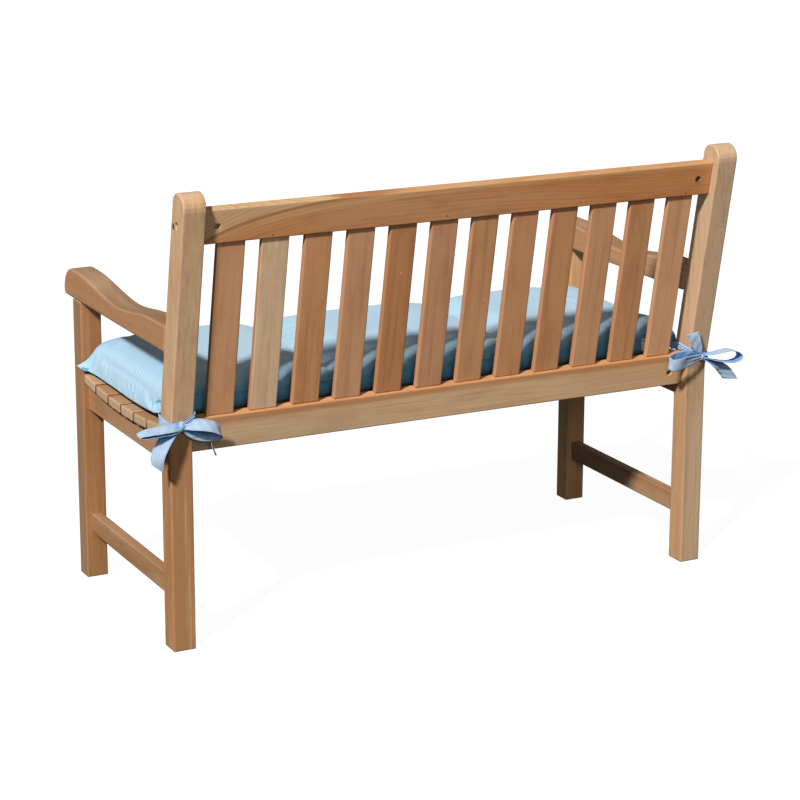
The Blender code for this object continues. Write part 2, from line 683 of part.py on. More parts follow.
def build_tie(name, knot, strands, slants, cloth):
    """Knot, loops, tails and the strands round the post, joined into one solid."""
    tie = add_object(name, knot_mesh(name), cloth, Vector(knot) / 1000)
    for strand, (kind, rows) in strands.items():
        part = f"{name}_{strand}"
        solid = ribbon_solid(part, kind, rows, slants.get(strand, 0.0))
        guide = bpy.data.objects.new(part, solid)
        bpy.context.scene.collection.objects.link(guide)
        guide.parent = BENCH
        guide.hide_render = True
        guide.display_type = "WIRE"
        join = tie.modifiers.new(strand, "BOOLEAN")
        join.operation = "UNION"
        join.use_self = True
        join.object = guide


# ---------------------------------------------------------------- the whole object
clear_scene()
BENCH = bpy.data.objects.new("bench", None)
bpy.context.scene.collection.objects.link(BENCH)
BENCH.location = (0, -MIDDLE_Y, 0)


def main():
    """Build every piece."""
    wood = make_material("wood", 0.55)
    cloth = make_material("cushion_cloth", 0.85)
    ribbon = make_material("tie_ribbon", 0.70)
    label = make_material("label_cloth", 0.80)
    build_legs(wood)
    build_back(wood)
    build_seat(wood)
    build_stretchers(wood)
    build_arms(wood)
    build_cushion(cloth)
    build_label(label)
    build_tie("tie_left", LEFT_KNOT, LEFT_STRANDS, TAIL_SLANT, ribbon)
    build_tie("tie_right", RIGHT_KNOT, RIGHT_STRANDS, UP_TAIL_SLANT, ribbon)


main()
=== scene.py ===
"""Looks of a tied seat cushion on its garden bench.

Metres, +Z up. X runs along the bench, the sitter faces -Y, and left is the sitter's left (+X).
The y of the camera, the cushion and the ties is measured from the middle of the legs, and
`deep()` turns such a y into the frame's.
"""

import math

import bpy
import numpy as np
from mathutils import Matrix, Vector


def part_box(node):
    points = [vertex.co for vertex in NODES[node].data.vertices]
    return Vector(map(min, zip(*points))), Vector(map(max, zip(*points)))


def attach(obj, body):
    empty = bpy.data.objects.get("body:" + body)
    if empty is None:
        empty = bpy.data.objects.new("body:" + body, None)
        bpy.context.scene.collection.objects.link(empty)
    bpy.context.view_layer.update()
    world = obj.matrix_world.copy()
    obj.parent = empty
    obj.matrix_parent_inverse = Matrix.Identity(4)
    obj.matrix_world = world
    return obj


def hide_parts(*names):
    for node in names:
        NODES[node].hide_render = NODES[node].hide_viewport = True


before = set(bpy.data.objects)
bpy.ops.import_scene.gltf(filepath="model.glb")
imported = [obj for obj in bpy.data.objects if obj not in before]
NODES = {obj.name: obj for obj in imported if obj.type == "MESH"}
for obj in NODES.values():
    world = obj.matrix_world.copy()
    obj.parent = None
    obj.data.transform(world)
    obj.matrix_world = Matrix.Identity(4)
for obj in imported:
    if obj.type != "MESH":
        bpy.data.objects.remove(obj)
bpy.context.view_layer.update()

# ---------------- places read from the frame
POST_FRONT = 0.2115       # rear posts' front faces, from the middle of the legs
MIDDLE_Y = POST_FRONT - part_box("rear_post_left")[0].y
LEAN_ANGLE = math.atan(0.195)            # how far the back leans to the rear


def deep(y):
    """A y measured from the middle of the legs, in the frame."""
    return y - MIDDLE_Y


# ---------------- camera, light and floor
CAMERA_PLACE = Vector((2.2767, deep(4.4625), 1.7796))
CAMERA_YAW = math.radians(207.211)       # from +Y towards +X
CAMERA_PITCH = math.radians(14.651)      # down
CAMERA_ROLL = math.radians(0.199)
PHOTO_SIDE = 800.0
FOCAL_PIXELS = 2508.06
CENTRE_PIXEL = (400.35, 349.96)          # where the camera's axis meets the photograph

KEY_FROM = (math.radians(53), math.radians(41))    # from +Y towards +X, and above the horizon
KEY_STRENGTH = 4.55
KEY_SOFTNESS = math.radians(6)
SOFT_LIGHTS = {           # place, strength and side of each soft light, and if it is mirrored
    "fill": (Vector((1.6, 4.4, 2.1)), 39.0, 2.0, True),
    "front_fill": (Vector((-0.8, -4.6, 0.9)), 58.0, 2.5, False),
}
SOFT_AIM = Vector((0, 0, 0.5))
SKY_COLOUR = (0.78, 0.93, 1.0, 1.0)
SKY_STRENGTH = 0.11
FLOOR_RADIUS = 40
BACKDROP_RADIUS = 45
GROUND_DROP = 0.002       # the ground that lights the bench lies under the floor that shows
FLOOR_GLOW = 0.955
FLOOR_WHITE = 0.09
GROUND_WHITE = 0.15


def build_camera():
    """The photograph's own view."""
    data = bpy.data.cameras.new("camera")
    camera = bpy.data.objects.new("camera", data)
    bpy.context.scene.collection.objects.link(camera)
    ahead = Vector((math.cos(CAMERA_PITCH) * math.sin(CAMERA_YAW),
                    math.cos(CAMERA_PITCH) * math.cos(CAMERA_YAW), -math.sin(CAMERA_PITCH)))
    right = ahead.cross(Vector((0, 0, 1))).normalized()
    up = right.cross(ahead)
    rolled_right = math.cos(CAMERA_ROLL) * right + math.sin(CAMERA_ROLL) * up
    rolled_up = math.cos(CAMERA_ROLL) * up - math.sin(CAMERA_ROLL) * right
    turn = Matrix((rolled_right, rolled_up, -ahead)).transposed().to_4x4()
    camera.matrix_world = Matrix.Translation(CAMERA_PLACE) @ turn
    data.sensor_width = 36.0
    data.lens = FOCAL_PIXELS * data.sensor_width / PHOTO_SIDE
    data.shift_x = (PHOTO_SIDE / 2 - CENTRE_PIXEL[0]) / PHOTO_SIDE
    data.shift_y = (CENTRE_PIXEL[1] - PHOTO_SIDE / 2) / PHOTO_SIDE
    data.clip_end = 200.0
    bpy.context.scene.camera = camera


def emission_material(name, glow, diffuse):
    """White that glows by itself and takes a little shadow."""
    material = bpy.data.materials.new(name)
    material.use_nodes = True
    shader = material.node_tree.nodes["Principled BSDF"]
    shader.inputs["Base Color"].default_value = (diffuse, diffuse, diffuse, 1)
    shader.inputs["Roughness"].default_value = 0.9
    shader.inputs["Emission Color"].default_value = (1, 1, 1, 1)
    shader.inputs["Emission Strength"].default_value = glow
    return material


def disc(name, height, glow, diffuse):
    """A round sheet of studio ground."""
    bpy.ops.mesh.primitive_circle_add(vertices=64, radius=FLOOR_RADIUS, fill_type="NGON",
                                      location=(0, 0, height))
    sheet = bpy.context.object
    sheet.name = name
    sheet.data.materials.append(emission_material(name, glow, diffuse))
    return sheet


def build_stage():
    """White floor and backdrop for the camera, and the ground that lights the bench."""
    floor = disc("studio_floor", 0.0, FLOOR_GLOW, FLOOR_WHITE)
    bpy.ops.mesh.primitive_uv_sphere_add(segments=48, ring_count=24, radius=BACKDROP_RADIUS)
    dome = bpy.context.object
    dome.name = "studio_backdrop"
    dome.data.materials.append(emission_material("studio_backdrop", 1.0, 0.0))
    dome.visible_shadow = False
    for stage in (floor, dome):
        stage.visible_diffuse = False
        stage.visible_glossy = False
    ground = disc("studio_ground", -GROUND_DROP, 0.0, GROUND_WHITE)
    ground.visible_camera = False


def hang_lamp(name, light, towards):
    """A light that shines from a direction."""
    lamp = bpy.data.objects.new(name, light)
    bpy.context.scene.collection.objects.link(lamp)
    lamp.rotation_mode = "QUATERNION"
    lamp.rotation_quaternion = towards.to_track_quat("Z", "Y")
    return lamp


def build_lights():
    """A key from behind and above, soft fills and a dim sky."""
    turn, height = KEY_FROM
    towards = Vector((math.sin(turn) * math.cos(height), math.cos(turn) * math.cos(height),
                      math.sin(height)))
    key = bpy.data.lights.new("key", "SUN")
    key.energy = KEY_STRENGTH
    key.angle = KEY_SOFTNESS
    hang_lamp("key", key, towards)

    for name, (place, strength, side, mirrored) in SOFT_LIGHTS.items():
        soft = bpy.data.lights.new(name, "AREA")
        soft.energy = strength
        soft.size = side
        lamp = hang_lamp(name, soft, place - SOFT_AIM)
        lamp.location = place
        lamp.visible_glossy = mirrored

    world = bpy.data.worlds.new("sky")
    bpy.context.scene.world = world
    world.use_nodes = True
    world.node_tree.nodes["Background"].inputs["Color"].default_value = SKY_COLOUR
    world.node_tree.nodes["Background"].inputs["Strength"].default_value = SKY_STRENGTH
    bpy.context.scene.view_settings.view_transform = "Standard"


# ---------------- node helpers
class Nodes:
    """Short names for making and joining a material's nodes."""

    def __init__(self, name):
        self.material = bpy.data.materials.new(name)
        self.material.use_nodes = True
        self.tree = self.material.node_tree
        self.shader = self.tree.nodes["Principled BSDF"]

    def put(self, socket, value):
        """Join a socket, or set its value."""
        if isinstance(value, bpy.types.NodeSocket):
            self.tree.links.new(value, socket)
        else:
            socket.default_value = value

    def add(self, kind, output=0, settings=(), **inputs):
        """One output of a new node, whose inputs are given by name or as _ and a number."""
        node = self.tree.nodes.new(kind)
        for key, value in dict(settings).items():
            setattr(node, key, value)
        for key, value in inputs.items():
            self.put(node.inputs[int(key[1:]) if key[1:].isdigit() else key], value)
        return node.outputs[output]

    def math(self, operation, a, b=0.0):
        """One number from one or two."""
        return self.add("ShaderNodeMath", 0, {"operation": operation}, _0=a, _1=b)

    def times(self, a, b):
        """A product."""
        return self.math("MULTIPLY", a, b)

    def plus(self, a, b):
        """A sum."""
        return self.math("ADD", a, b)

    def minus(self, a, b):
        """A difference."""
        return self.math("SUBTRACT", a, b)

    def turned(self, place, turn):
        """A place turned about the axes."""
        return self.add("ShaderNodeMapping", Vector=place, Rotation=turn)

    def noise(self, place, scale, detail=2.0, roughness=0.5):
        """Smooth noise about 0.5, with its own scale on each axis."""
        stretched = self.add("ShaderNodeMapping", Vector=place, Scale=scale)
        return self.add("ShaderNodeTexNoise", Vector=stretched, Scale=1.0, Detail=detail,
                        Roughness=roughness)

    def split(self, place):
        """The three numbers of a place."""
        return tuple(self.add("ShaderNodeSeparateXYZ", _0=place).node.outputs)

    def between(self, value, low, high, out_low=0.0, out_high=1.0):
        """A number's range mapped to another, held at the ends."""
        return self.add("ShaderNodeMapRange", 0, {"interpolation_type": "SMOOTHSTEP"},
                        _0=value, _1=low, _2=high, _3=out_low, _4=out_high)

    def mix(self, share, a, b):
        """Two colours mixed."""
        return self.add("ShaderNodeMix", 2, {"data_type": "RGBA"}, _0=share, _6=a, _7=b)

    def bump(self, height, distance, normal=None):
        """A surface raised by a height times a distance, on another normal or its own."""
        under = {} if normal is None else {"Normal": normal}
        return self.add("ShaderNodeBump", Strength=1.0, Distance=distance, Height=height,
                        **under)


def rgba(colour):
    """A colour with its alpha."""
    return (*colour, 1.0)


# ---------------- wood
AXES = {"x": 0, "y": 1, "z": 2}
GRAIN_TURN = {            # turns a board's length onto X
    "x": (0.0, 0.0, 0.0),
    "y": (0.0, 0.0, -math.pi / 2),
    "z": (0.0, math.pi / 2, 0.0),
}
GRAIN_NOISES = {          # scale with the length along X, detail and roughness
    "wander": ((1.1, 7, 7), 3.0, 0.5),
    "drift": ((1.5, 13, 13), 3.0, 0.55),
    "mottle": ((7, 26, 26), 3.0, 0.6),
    "streak": ((2.6, 95, 95), 5.0, 0.62),
    "fibre": ((16, 700, 700), 3.0, 0.6),
    "pores": ((42, 1300, 1300), 1.0, 0.5),
}
RING_WANDER = 0.10
RING_SHARPNESS = 4.0
SAPWOOD = (0.62, 0.44, 0.27)
END_GRAIN = (0.56, 0.40, 0.26)
DARK_SHARES = (0.62, 0.50, 0.42)         # of a board's tone, in its dark and light parts
LIGHT_SHARES = (1.12, 1.20, 1.30)
EASED_EDGE = 0.0040       # how far the sanding rounds the light on an edge
PORE_DEPTH = 0.0003
BAND_WANDER = 2.5         # how far a band's edge wanders, times its softness
SPOT_CORE = 0.45          # share of a spot's radius that has its full tone
DARK_SPOT = (0.045, 0.018, 0.008, 1)
PALE_SPOT = (0.80, 0.72, 0.62, 1)


def painted_bands(n, colour, place, drift, bands):
    """Bands of another tone between two places on an axis, with edges that wander."""
    parts = n.split(place)
    for axis, low, high, soft, tone, share in bands:
        where = n.plus(parts[AXES[axis]], n.times(n.minus(drift, 0.5), BAND_WANDER * soft))
        inside = n.times(n.between(where, low - soft, low + soft),
                         n.between(where, high - soft, high + soft, 1.0, 0.0))
        colour = n.mix(n.times(inside, share), colour, rgba(tone))
    return colour


def painted_spots(n, colour, place, spots):
    """Round marks: nail dots, knots, stains, and painted shade in and round holes."""
    for centre, size, share in spots:
        away = n.add("ShaderNodeVectorMath", 1, {"operation": "DISTANCE"}, _0=place,
                     _1=centre)
        mark = n.between(away, SPOT_CORE * size, size, abs(share), 0.0)
        colour = n.mix(mark, colour, DARK_SPOT if share > 0 else PALE_SPOT)
    return colour


def bent_grain(n, upright, flame):
    """Places whose grain climbs to the left from the flame's start, within its reach."""
    start, reach, climb = flame
    run = n.math("DIVIDE", n.minus(n.split(upright)[0], start), reach)
    bend = n.times(n.math("EXPONENT", n.math("MINIMUM", run, 1.0)), climb)
    return n.add("ShaderNodeVectorMath", 0, {"operation": "ADD"}, _0=upright,
                 _1=n.add("ShaderNodeCombineXYZ", Z=bend))


def growth_rings(n, along, wander, chance):
    """Late wood, from 0 to 1, of rings about a heart that lies outside the board."""
    parts = n.split(along)
    across = n.plus(parts[1], float(chance.uniform(0.02, 0.08)))
    through = n.plus(parts[2], float(chance.uniform(-0.07, -0.01)))
    radius = n.math("SQRT", n.plus(n.times(across, across), n.times(through, through)))
    bent = n.plus(radius, n.times(wander, RING_WANDER))
    phase = n.math("FRACT", n.math("DIVIDE", bent, float(chance.uniform(0.008, 0.013))))
    return n.math("POWER", phase, RING_SHARPNESS)


def wood_material(name, tone, grain, seed, sap=SAPWOOD, sap_share=0.35, rings=0.16, lean=0.0,
                  side=None, flame=None, bands=(), spots=()):
    """Oiled hardwood: drifting tones, growth rings, fibres and pores along the grain.

    A flame (start, reach, climb) bends the grain towards the left end of a rail, a side
    (axis, tone) gives the faces across an axis another tone as their painted light and shade,
    and bands are placed up the lean.
    """
    n = Nodes(name)
    chance = np.random.default_rng(seed)
    place = n.add("ShaderNodeTexCoord", 3)
    facing = n.split(n.add("ShaderNodeTexCoord", 1))
    upright = n.turned(place, (lean, 0, 0))
    if flame:
        upright = bent_grain(n, upright, flame)
    along = n.turned(upright, GRAIN_TURN[grain])
    shift = tuple(float(s) for s in chance.uniform(-3, 3, 3))
    board = n.add("ShaderNodeVectorMath", 0, {"operation": "ADD"}, _0=along, _1=shift)
    grains = {}
    for kind, (scale, detail, roughness) in GRAIN_NOISES.items():
        grains[kind] = n.noise(board, scale, detail, roughness)
    late = growth_rings(n, along, grains["wander"], chance)
    pore = n.between(grains["pores"], 0.68, 0.75)

    dark = rgba(c * s for c, s in zip(tone, DARK_SHARES))
    light = rgba(min(c * s, 0.9) for c, s in zip(tone, LIGHT_SHARES))
    colour = n.mix(n.between(grains["drift"], 0.46, 0.68, 0.0, sap_share), rgba(tone), rgba(sap))
    colour = n.mix(n.between(grains["mottle"], 0.45, 0.75, 0.0, 0.45), colour, light)
    colour = n.mix(n.between(grains["mottle"], 0.50, 0.30, 0.0, 0.30), colour, dark)
    # painted light and shade: faces across the side's axis take the side's tone
    if side:
        turned = n.math("ABSOLUTE", facing[AXES[side[0]]])
        colour = n.mix(n.between(turned, 0.45, 0.75), colour, rgba(side[1]))
    colour = painted_bands(n, colour, upright, grains["drift"], bands)
    colour = n.mix(n.between(grains["streak"], 0.47, 0.32, 0.0, 0.40), colour, dark)
    colour = n.mix(n.between(grains["streak"], 0.53, 0.70, 0.0, 0.50), colour, light)
    colour = n.mix(n.times(late, rings), colour, dark)
    colour = n.mix(n.between(grains["fibre"], 0.52, 0.80, 0.0, 0.22), colour, dark)
    colour = n.mix(n.times(pore, 0.40), colour, dark)
    end_face = n.between(n.math("ABSOLUTE", facing[AXES[grain]]), 0.80, 0.97, 0.0, 0.65)
    colour = n.mix(end_face, colour, rgba(END_GRAIN))
    n.put(n.shader.inputs["Base Color"], painted_spots(n, colour, place, spots))
    n.put(n.shader.inputs["Roughness"], n.between(grains["streak"], 0.3, 0.7, 0.66, 0.50))
    n.shader.inputs["Specular IOR Level"].default_value = 0.30

    raised = n.plus(n.times(grains["fibre"], 0.5), n.times(late, 0.15))
    height = n.minus(raised, n.times(pore, 0.5))
    eased = n.add("ShaderNodeBevel", 0, {"samples": 4}, Radius=EASED_EDGE)
    n.put(n.shader.inputs["Normal"], n.bump(height, PORE_DEPTH, normal=eased))
    return n.material


# each back slat: tone, share of sapwood, strength of the rings, tone of its left side; the
# side tone is painted light and shade of that face, on the first slat the near post's painted
# shadow
BACK_SLATS = (
    ((0.61, 0.300, 0.145), 0.10, 0.10, (0.40, 0.190, 0.085)),
    ((0.73, 0.490, 0.300), 0.55, 0.10, (0.49, 0.215, 0.100)),
    ((0.58, 0.270, 0.117), 0.10, 0.14, (0.52, 0.250, 0.118)),
    ((0.59, 0.295, 0.148), 0.08, 0.08, (0.52, 0.250, 0.118)),
    ((0.51, 0.222, 0.090), 0.05, 0.12, (0.49, 0.215, 0.088)),
    ((0.56, 0.272, 0.138), 0.08, 0.08, (0.52, 0.250, 0.118)),
    ((0.57, 0.272, 0.120), 0.08, 0.08, (0.52, 0.250, 0.118)),
    ((0.58, 0.267, 0.118), 0.12, 0.08, (0.52, 0.250, 0.118)),
    ((0.56, 0.260, 0.112), 0.08, 0.08, (0.52, 0.235, 0.108)),
    ((0.60, 0.294, 0.142), 0.10, 0.08, (0.52, 0.235, 0.108)),
    ((0.55, 0.255, 0.110), 0.08, 0.10, (0.52, 0.235, 0.108)),
    ((0.63, 0.315, 0.154), 0.12, 0.12, (0.56, 0.290, 0.145)),
)
SLAT_SPOTS = {            # pale specks on the fifth, a dark one on the seventh
    5: (((0.1312, 0.2721, 0.7058), 0.0022, -0.7), ((0.1386, 0.2738, 0.7148), 0.0015, -0.5)),
    7: (((-0.060, 0.2560, 0.6220), 0.0022, 0.5),),
}
SEAT_TONES = ((0.45, 0.250, 0.130), (0.50, 0.300, 0.165), (0.43, 0.225, 0.110))
# painted shade: the seat slats' front and rear faces, in the gaps between the slats, are painted
# nearly black
SEAT_SIDE_SHADE = (0.20, 0.065, 0.025)


def dress_board(node, tone, grain, seed, **look):
    """Give a board of the bench its own cut of wood."""
    board = NODES[node]
    board.data.materials.clear()
    board.data.materials.append(wood_material(f"wood_{node}", tone, grain, seed, **look))


def dress_back():
    """Wood of the rear posts, both rails and the back slats."""
    dress_board("rear_post_left", (0.61, 0.390, 0.220), "z", 11, sap=(0.57, 0.360, 0.160),
                sap_share=0.7, rings=0.18,
                bands=(("x", 0.5905, 0.5990, 0.0014, (0.66, 0.350, 0.245), 0.75),
                       ("z", -1, 0.442, 0.05, (0.37, 0.158, 0.052), 0.85)),
                # the first spot is painted shade in the hole of the outer face
                spots=(((0.600, 0.2775, 0.8415), 0.0085, 0.8),
                       ((0.600, 0.2294, 0.3344), 0.006, 0.5)))
    dress_board("rear_post_right", (0.47, 0.300, 0.168), "z", 12, sap=(0.60, 0.420, 0.255),
                sap_share=0.6, rings=0.16, side=("x", (0.54, 0.300, 0.155)),
                bands=(("z", 0.470, 2.0, 0.05, (0.66, 0.430, 0.260), 0.70),))
    nails = (((0.4108, 0.2978, 0.8115), 0.0026, 0.8), ((0.0462, 0.2984, 0.8144), 0.0026, 0.8),
             ((-0.4989, 0.2979, 0.8120), 0.0026, 0.8))
    # painted shade: dark spots in and round the rail's two holes
    hole_shades = (((0.5235, 0.2950, 0.8380), 0.0095, 0.6),
                 ((-0.5235, 0.2950, 0.8380), 0.0135, 0.65))
    dress_board("top_rail", (0.57, 0.236, 0.084), "x", 15, lean=LEAN_ANGLE, rings=0.36,
                sap_share=0.25, flame=(0.555, 0.14, 0.074),
                # the first band paints the rail lighter along its top edge: painted light on its
                # lit top bevel
                bands=(("z", 0.9070, 0.9200, 0.0025, (0.64, 0.365, 0.165), 0.65),
                       ("z", 0.9200, 0.9265, 0.0015, (0.36, 0.150, 0.055), 0.60),
                       ("z", 0.9265, 1.5, 0.0020, (0.66, 0.450, 0.240), 0.80)),
                spots=nails + hole_shades)
    dress_board("lower_back_rail", (0.70, 0.450, 0.250), "x", 16, lean=LEAN_ANGLE, rings=0.26,
                sap_share=0.5, bands=(("x", -0.60, -0.33, 0.06, (0.64, 0.350, 0.170), 0.55),
                                      ("z", 0.4760, 1.0, 0.0040, (0.56, 0.240, 0.088), 0.85)),
                # painted shade in the holes near both ends
                spots=(((-0.5260, 0.2122, 0.4142), 0.0080, 0.6),
                       ((0.5235, 0.2122, 0.4142), 0.0080, 0.6)))
    for number, (tone, sap_share, rings, side) in enumerate(BACK_SLATS, 1):
        dress_board(f"back_slat_{number:02d}", tone, "z", 20 + number, lean=LEAN_ANGLE,
                    sap_share=sap_share, rings=rings, side=("x", side),
                    spots=SLAT_SPOTS.get(number, ()))


def dress_base():
    """Wood of the seat, the front legs, the side rails and the arms."""
    dress_board("front_leg_left", (0.42, 0.190, 0.072), "z", 13, rings=0.25,
                side=("x", (0.34, 0.195, 0.105)),
                spots=(((0.5640, -0.2348, 0.4891), 0.005, 0.5),))
    # painted light: the far front leg is painted lighter than its wood, standing in for light it
    # gets in shade
    dress_board("front_leg_right", (0.70, 0.385, 0.170), "z", 14, rings=0.20)
    for index in range(7):
        dress_board(f"seat_slat_{index + 1:02d}", SEAT_TONES[index % 3], "x", 41 + index,
                    rings=0.35, side=("y", SEAT_SIDE_SHADE))
    for index, side in enumerate(("left", "right")):
        dress_board(f"side_seat_rail_{side}", (0.43, 0.225, 0.110), "y", 51 + index)
        dress_board(f"side_stretcher_{side}", (0.36, 0.185, 0.083), "y", 53 + index)
        dress_board(f"arm_{side}", (0.34, 0.190, 0.100), "y", 55 + index, rings=0.18,
                    side=("x", (0.46, 0.232, 0.112)))
    dress_board("front_seat_rail", (0.42, 0.210, 0.100), "x", 57)


# ---------------- cloth
THREAD_HEIGHT = 0.00025
STITCH_LENGTH = 0.0028
WRINKLE_HEIGHT = 0.0005
WRINKLE_BEND = 0.25
# patches of fine wrinkles at the cushion's left end, on the cloth's own places: centre, turn
# in degrees, half length and half width of the patch, and how many wrinkles cross it
WRINKLES = (
    ((0.554, 0.038), 17, (0.017, 0.038), 6),
    ((0.590, 0.030), 12, (0.019, 0.052), 5),
    ((0.583, -0.115), 0, (0.014, 0.014), 1.5),
    ((0.588, 0.140), 20, (0.018, 0.022), 2.5),
)
# painted shade of folds, in the same terms: the rear corner's tuck and the front
# corner's turned edge, painted in the shade tone
TUCK_SHADES = (
    ((0.579, 0.166), 117, (0.026, 0.0038)),
    ((0.600, -0.205), 60, (0.024, 0.0050)),
)


def cloth_patch(n, place, centre, turn, half):
    """A patch's own places, and its share: 1 inside, fading to 0 at its rim."""
    own = n.add("ShaderNodeMapping", 0, {"vector_type": "TEXTURE"}, Vector=place,
                Location=(*centre, 0), Rotation=(0, 0, math.radians(turn)), Scale=(*half, 1))
    away = n.add("ShaderNodeVectorMath", 1, {"operation": "LENGTH"}, _0=own)
    return own, n.between(away, 0.45, 1.0, 1.0, 0.0)


def wrinkle_height(n, place, patches):
    """Heights of the fine wrinkles: bent waves inside their patches."""
    height = 0.0
    for centre, turn, half, count in patches:
        own, inside = cloth_patch(n, place, centre, turn, half)
        along, across, _ = n.split(own)
        bend = n.times(n.times(along, along), WRINKLE_BEND)
        wave = n.math("SINE", n.times(n.plus(across, bend), math.pi * count))
        height = n.plus(n.times(wave, inside), height)
    return height


def plain_weave(n, place, warp, weft, thread, slub):
    """Colour and height of crossing threads with slubs and faint blotches."""
    right, ahead, _ = n.split(place)
    one = n.math("SINE", n.times(right, math.pi / thread))
    two = n.math("SINE", n.times(ahead, math.pi / thread))
    over = n.plus(n.times(n.times(one, two), 0.5), 0.5)
    uneven = n.times(n.plus(n.noise(place, (30, 900, 1)), n.noise(place, (900, 30, 1))), 0.5)
    colour = n.mix(over, rgba(warp), rgba(weft))
    pale = rgba(min(1.0, c * 1.10 + 0.02) for c in warp)
    colour = n.mix(n.between(uneven, 0.38, 0.66, 0.0, slub), colour, pale)
    dull = rgba(c * 0.93 for c in warp)
    colour = n.mix(n.between(n.noise(place, (7, 7, 1)), 0.45, 0.75, 0.0, 0.5), colour, dull)
    height = n.plus(n.times(over, 0.5), n.times(uneven, 0.8))
    return colour, height


def sewn_hem(n, place, colour, height, hem, tone):
    """Colour and height with a row of stitches in a groove along both edges, the groove painted
    darker as painted shade.
    """
    right, ahead, _ = n.split(place)
    from_hem = n.math("ABSOLUTE", n.minus(n.math("ABSOLUTE", right), hem))
    groove = n.minus(1.0, n.between(from_hem, 0.0002, 0.0007))
    dash = n.between(n.math("SINE", n.times(ahead, 2 * math.pi / STITCH_LENGTH)), -0.5, 0.2)
    stitch = n.times(groove, dash)
    # painted shade along the stitch groove
    colour = n.mix(n.times(groove, 0.30), colour, rgba(c * 0.55 for c in tone))
    return colour, n.minus(height, n.times(stitch, 1.2))


def cloth_material(name, warp, weft, thread, slub=0.5, hem=None, painted_shade_tone=None, reach=0.02,
                   wrinkles=(), tucks=()):
    """Plain weave of warp and weft threads, laid by the cloth's own places in metres.

    In folds and hollows narrower than the reach, and in its tucks, the cloth is painted in the
    shade tone: painted shade, darker and bluer than the cloth.
    """
    n = Nodes(name)
    place = n.add("ShaderNodeAttribute", 1, {"attribute_name": "cloth_place"})
    colour, height = plain_weave(n, place, warp, weft, thread, slub)
    if hem:
        colour, height = sewn_hem(n, place, colour, height, hem, warp)
    if painted_shade_tone:
        # painted shade: where other surfaces lie within the reach, the cloth is mixed towards
        # the shade tone
        open_share = n.add("ShaderNodeAmbientOcclusion", 1, {"samples": 6}, Distance=reach)
        colour = n.mix(n.between(open_share, 0.45, 0.95), rgba(painted_shade_tone), colour)
    # painted shade on the tucks
    for centre, turn, half in tucks:
        inside = cloth_patch(n, place, centre, turn, half)[1]
        colour = n.mix(n.times(inside, 0.9), colour, rgba(painted_shade_tone))
    n.put(n.shader.inputs["Base Color"], colour)
    n.shader.inputs["Roughness"].default_value = 0.88
    n.shader.inputs["Sheen Weight"].default_value = 0.25
    n.shader.inputs["Sheen Roughness"].default_value = 0.5
    n.shader.inputs["Specular IOR Level"].default_value = 0.2
    wrinkled = None
    if wrinkles:
        wrinkled = n.bump(wrinkle_height(n, place, wrinkles), WRINKLE_HEIGHT)
    n.put(n.shader.inputs["Normal"], n.bump(height, THREAD_HEIGHT, normal=wrinkled))
    return n.material


def mesh_object(name, points, faces, places, material):
    """A smooth mesh from points, quads and the cloth's own places."""
    mesh = bpy.data.meshes.new(name)
    mesh.from_pydata(points.tolist(), [], faces.tolist())
    attribute = mesh.attributes.new("cloth_place", "FLOAT_VECTOR", "POINT")
    attribute.data.foreach_set("vector", places.astype(np.float32).ravel())
    mesh.materials.append(material)
    mesh.shade_smooth()
    mesh.update()
    piece = bpy.data.objects.new(name, mesh)
    bpy.context.scene.collection.objects.link(piece)
    return piece


def grid_faces(index, flip=False):
    """Quads between the rows and columns of a grid of point numbers."""
    quads = np.stack([index[:-1, :-1], index[1:, :-1], index[1:, 1:], index[:-1, 1:]], -1)
    quads = quads.reshape(-1, 4)
    return quads[:, ::-1] if flip else quads


def finer(grid, axis):
    """A grid with a smooth row added between each two along an axis."""
    g = np.moveaxis(grid, axis, 0)
    ends = np.concatenate([2 * g[:1] - g[1:2], g, 2 * g[-1:] - g[-2:-1]])
    middles = (9 * (ends[1:-2] + ends[2:-1]) - ends[:-3] - ends[3:]) / 16
    result = np.empty((2 * len(g) - 1, *g.shape[1:]))
    result[::2] = g
    result[1::2] = middles
    return np.moveaxis(result, 0, axis)


# ---------------- cushion
HALF = 0.590              # half length at the seam
FRONT_SEAM = -0.2125
REAR_SEAM = 0.2030
FRONT_BULGE = 0.0090      # how far the front seam bows out between the legs
REAR_BULGE = 0.0030
BULGE_END = 0.93          # share of the half length at which both bulges end
BULGE_POWER = 8
EAR = 0.022               # how far each front corner is drawn out
EAR_LIFT = 0.009          # how far its seam is lifted
EAR_SLOPE = 1.15          # how fast its cloth rises from the seam
EAR_EDGE = 0.010
EAR_POWER = 8             # how near the corner the ear begins, along the end
LIFT_POWERS = (24, 14)    # and its lift, along the length and the depth
CORNER_IN = 0.013         # how far each rear corner is drawn in by its tie
CORNER_POWERS = (20, 10)
SEAM_ROWS = np.array((    # y and height of the seam
    (-0.2215, 0.4535), (-0.1997, 0.4463), (-0.186, 0.4500), (-0.126, 0.4487),
    (-0.036, 0.4464), (0.024, 0.4454), (0.079, 0.4462), (0.149, 0.4490), (0.185, 0.4570),
    (0.206, 0.4600)))
SEAT_LOW = 0.4288         # height of the seat at its lowest, and how fast its dish rises
SEAT_DISH = 0.32
SEAT_GAP = 0.0004
PUFF = 0.0720             # thickness at the shoulder, and how much the middle adds
CROWN = 0.0120
EDGE = (0.044, 2.9)       # width and squareness of the rounded shoulder
RIGHT_EDGE = (0.130, 3.4)
RIGHT_FLAT = 0.6          # share of the crown that is lost at the right end
RIGHT_POWER = 8
UNDER_EDGE = (0.045, 1.2)
FLANGE = 0.007            # flat seam allowance before the underside turns down
FLANGE_SAG = 0.02
CHANNELS = (-0.190, 0.230)               # where they cross the length
CHANNEL_DEPTH = 0.0150
CHANNEL_WIDTH = 0.030
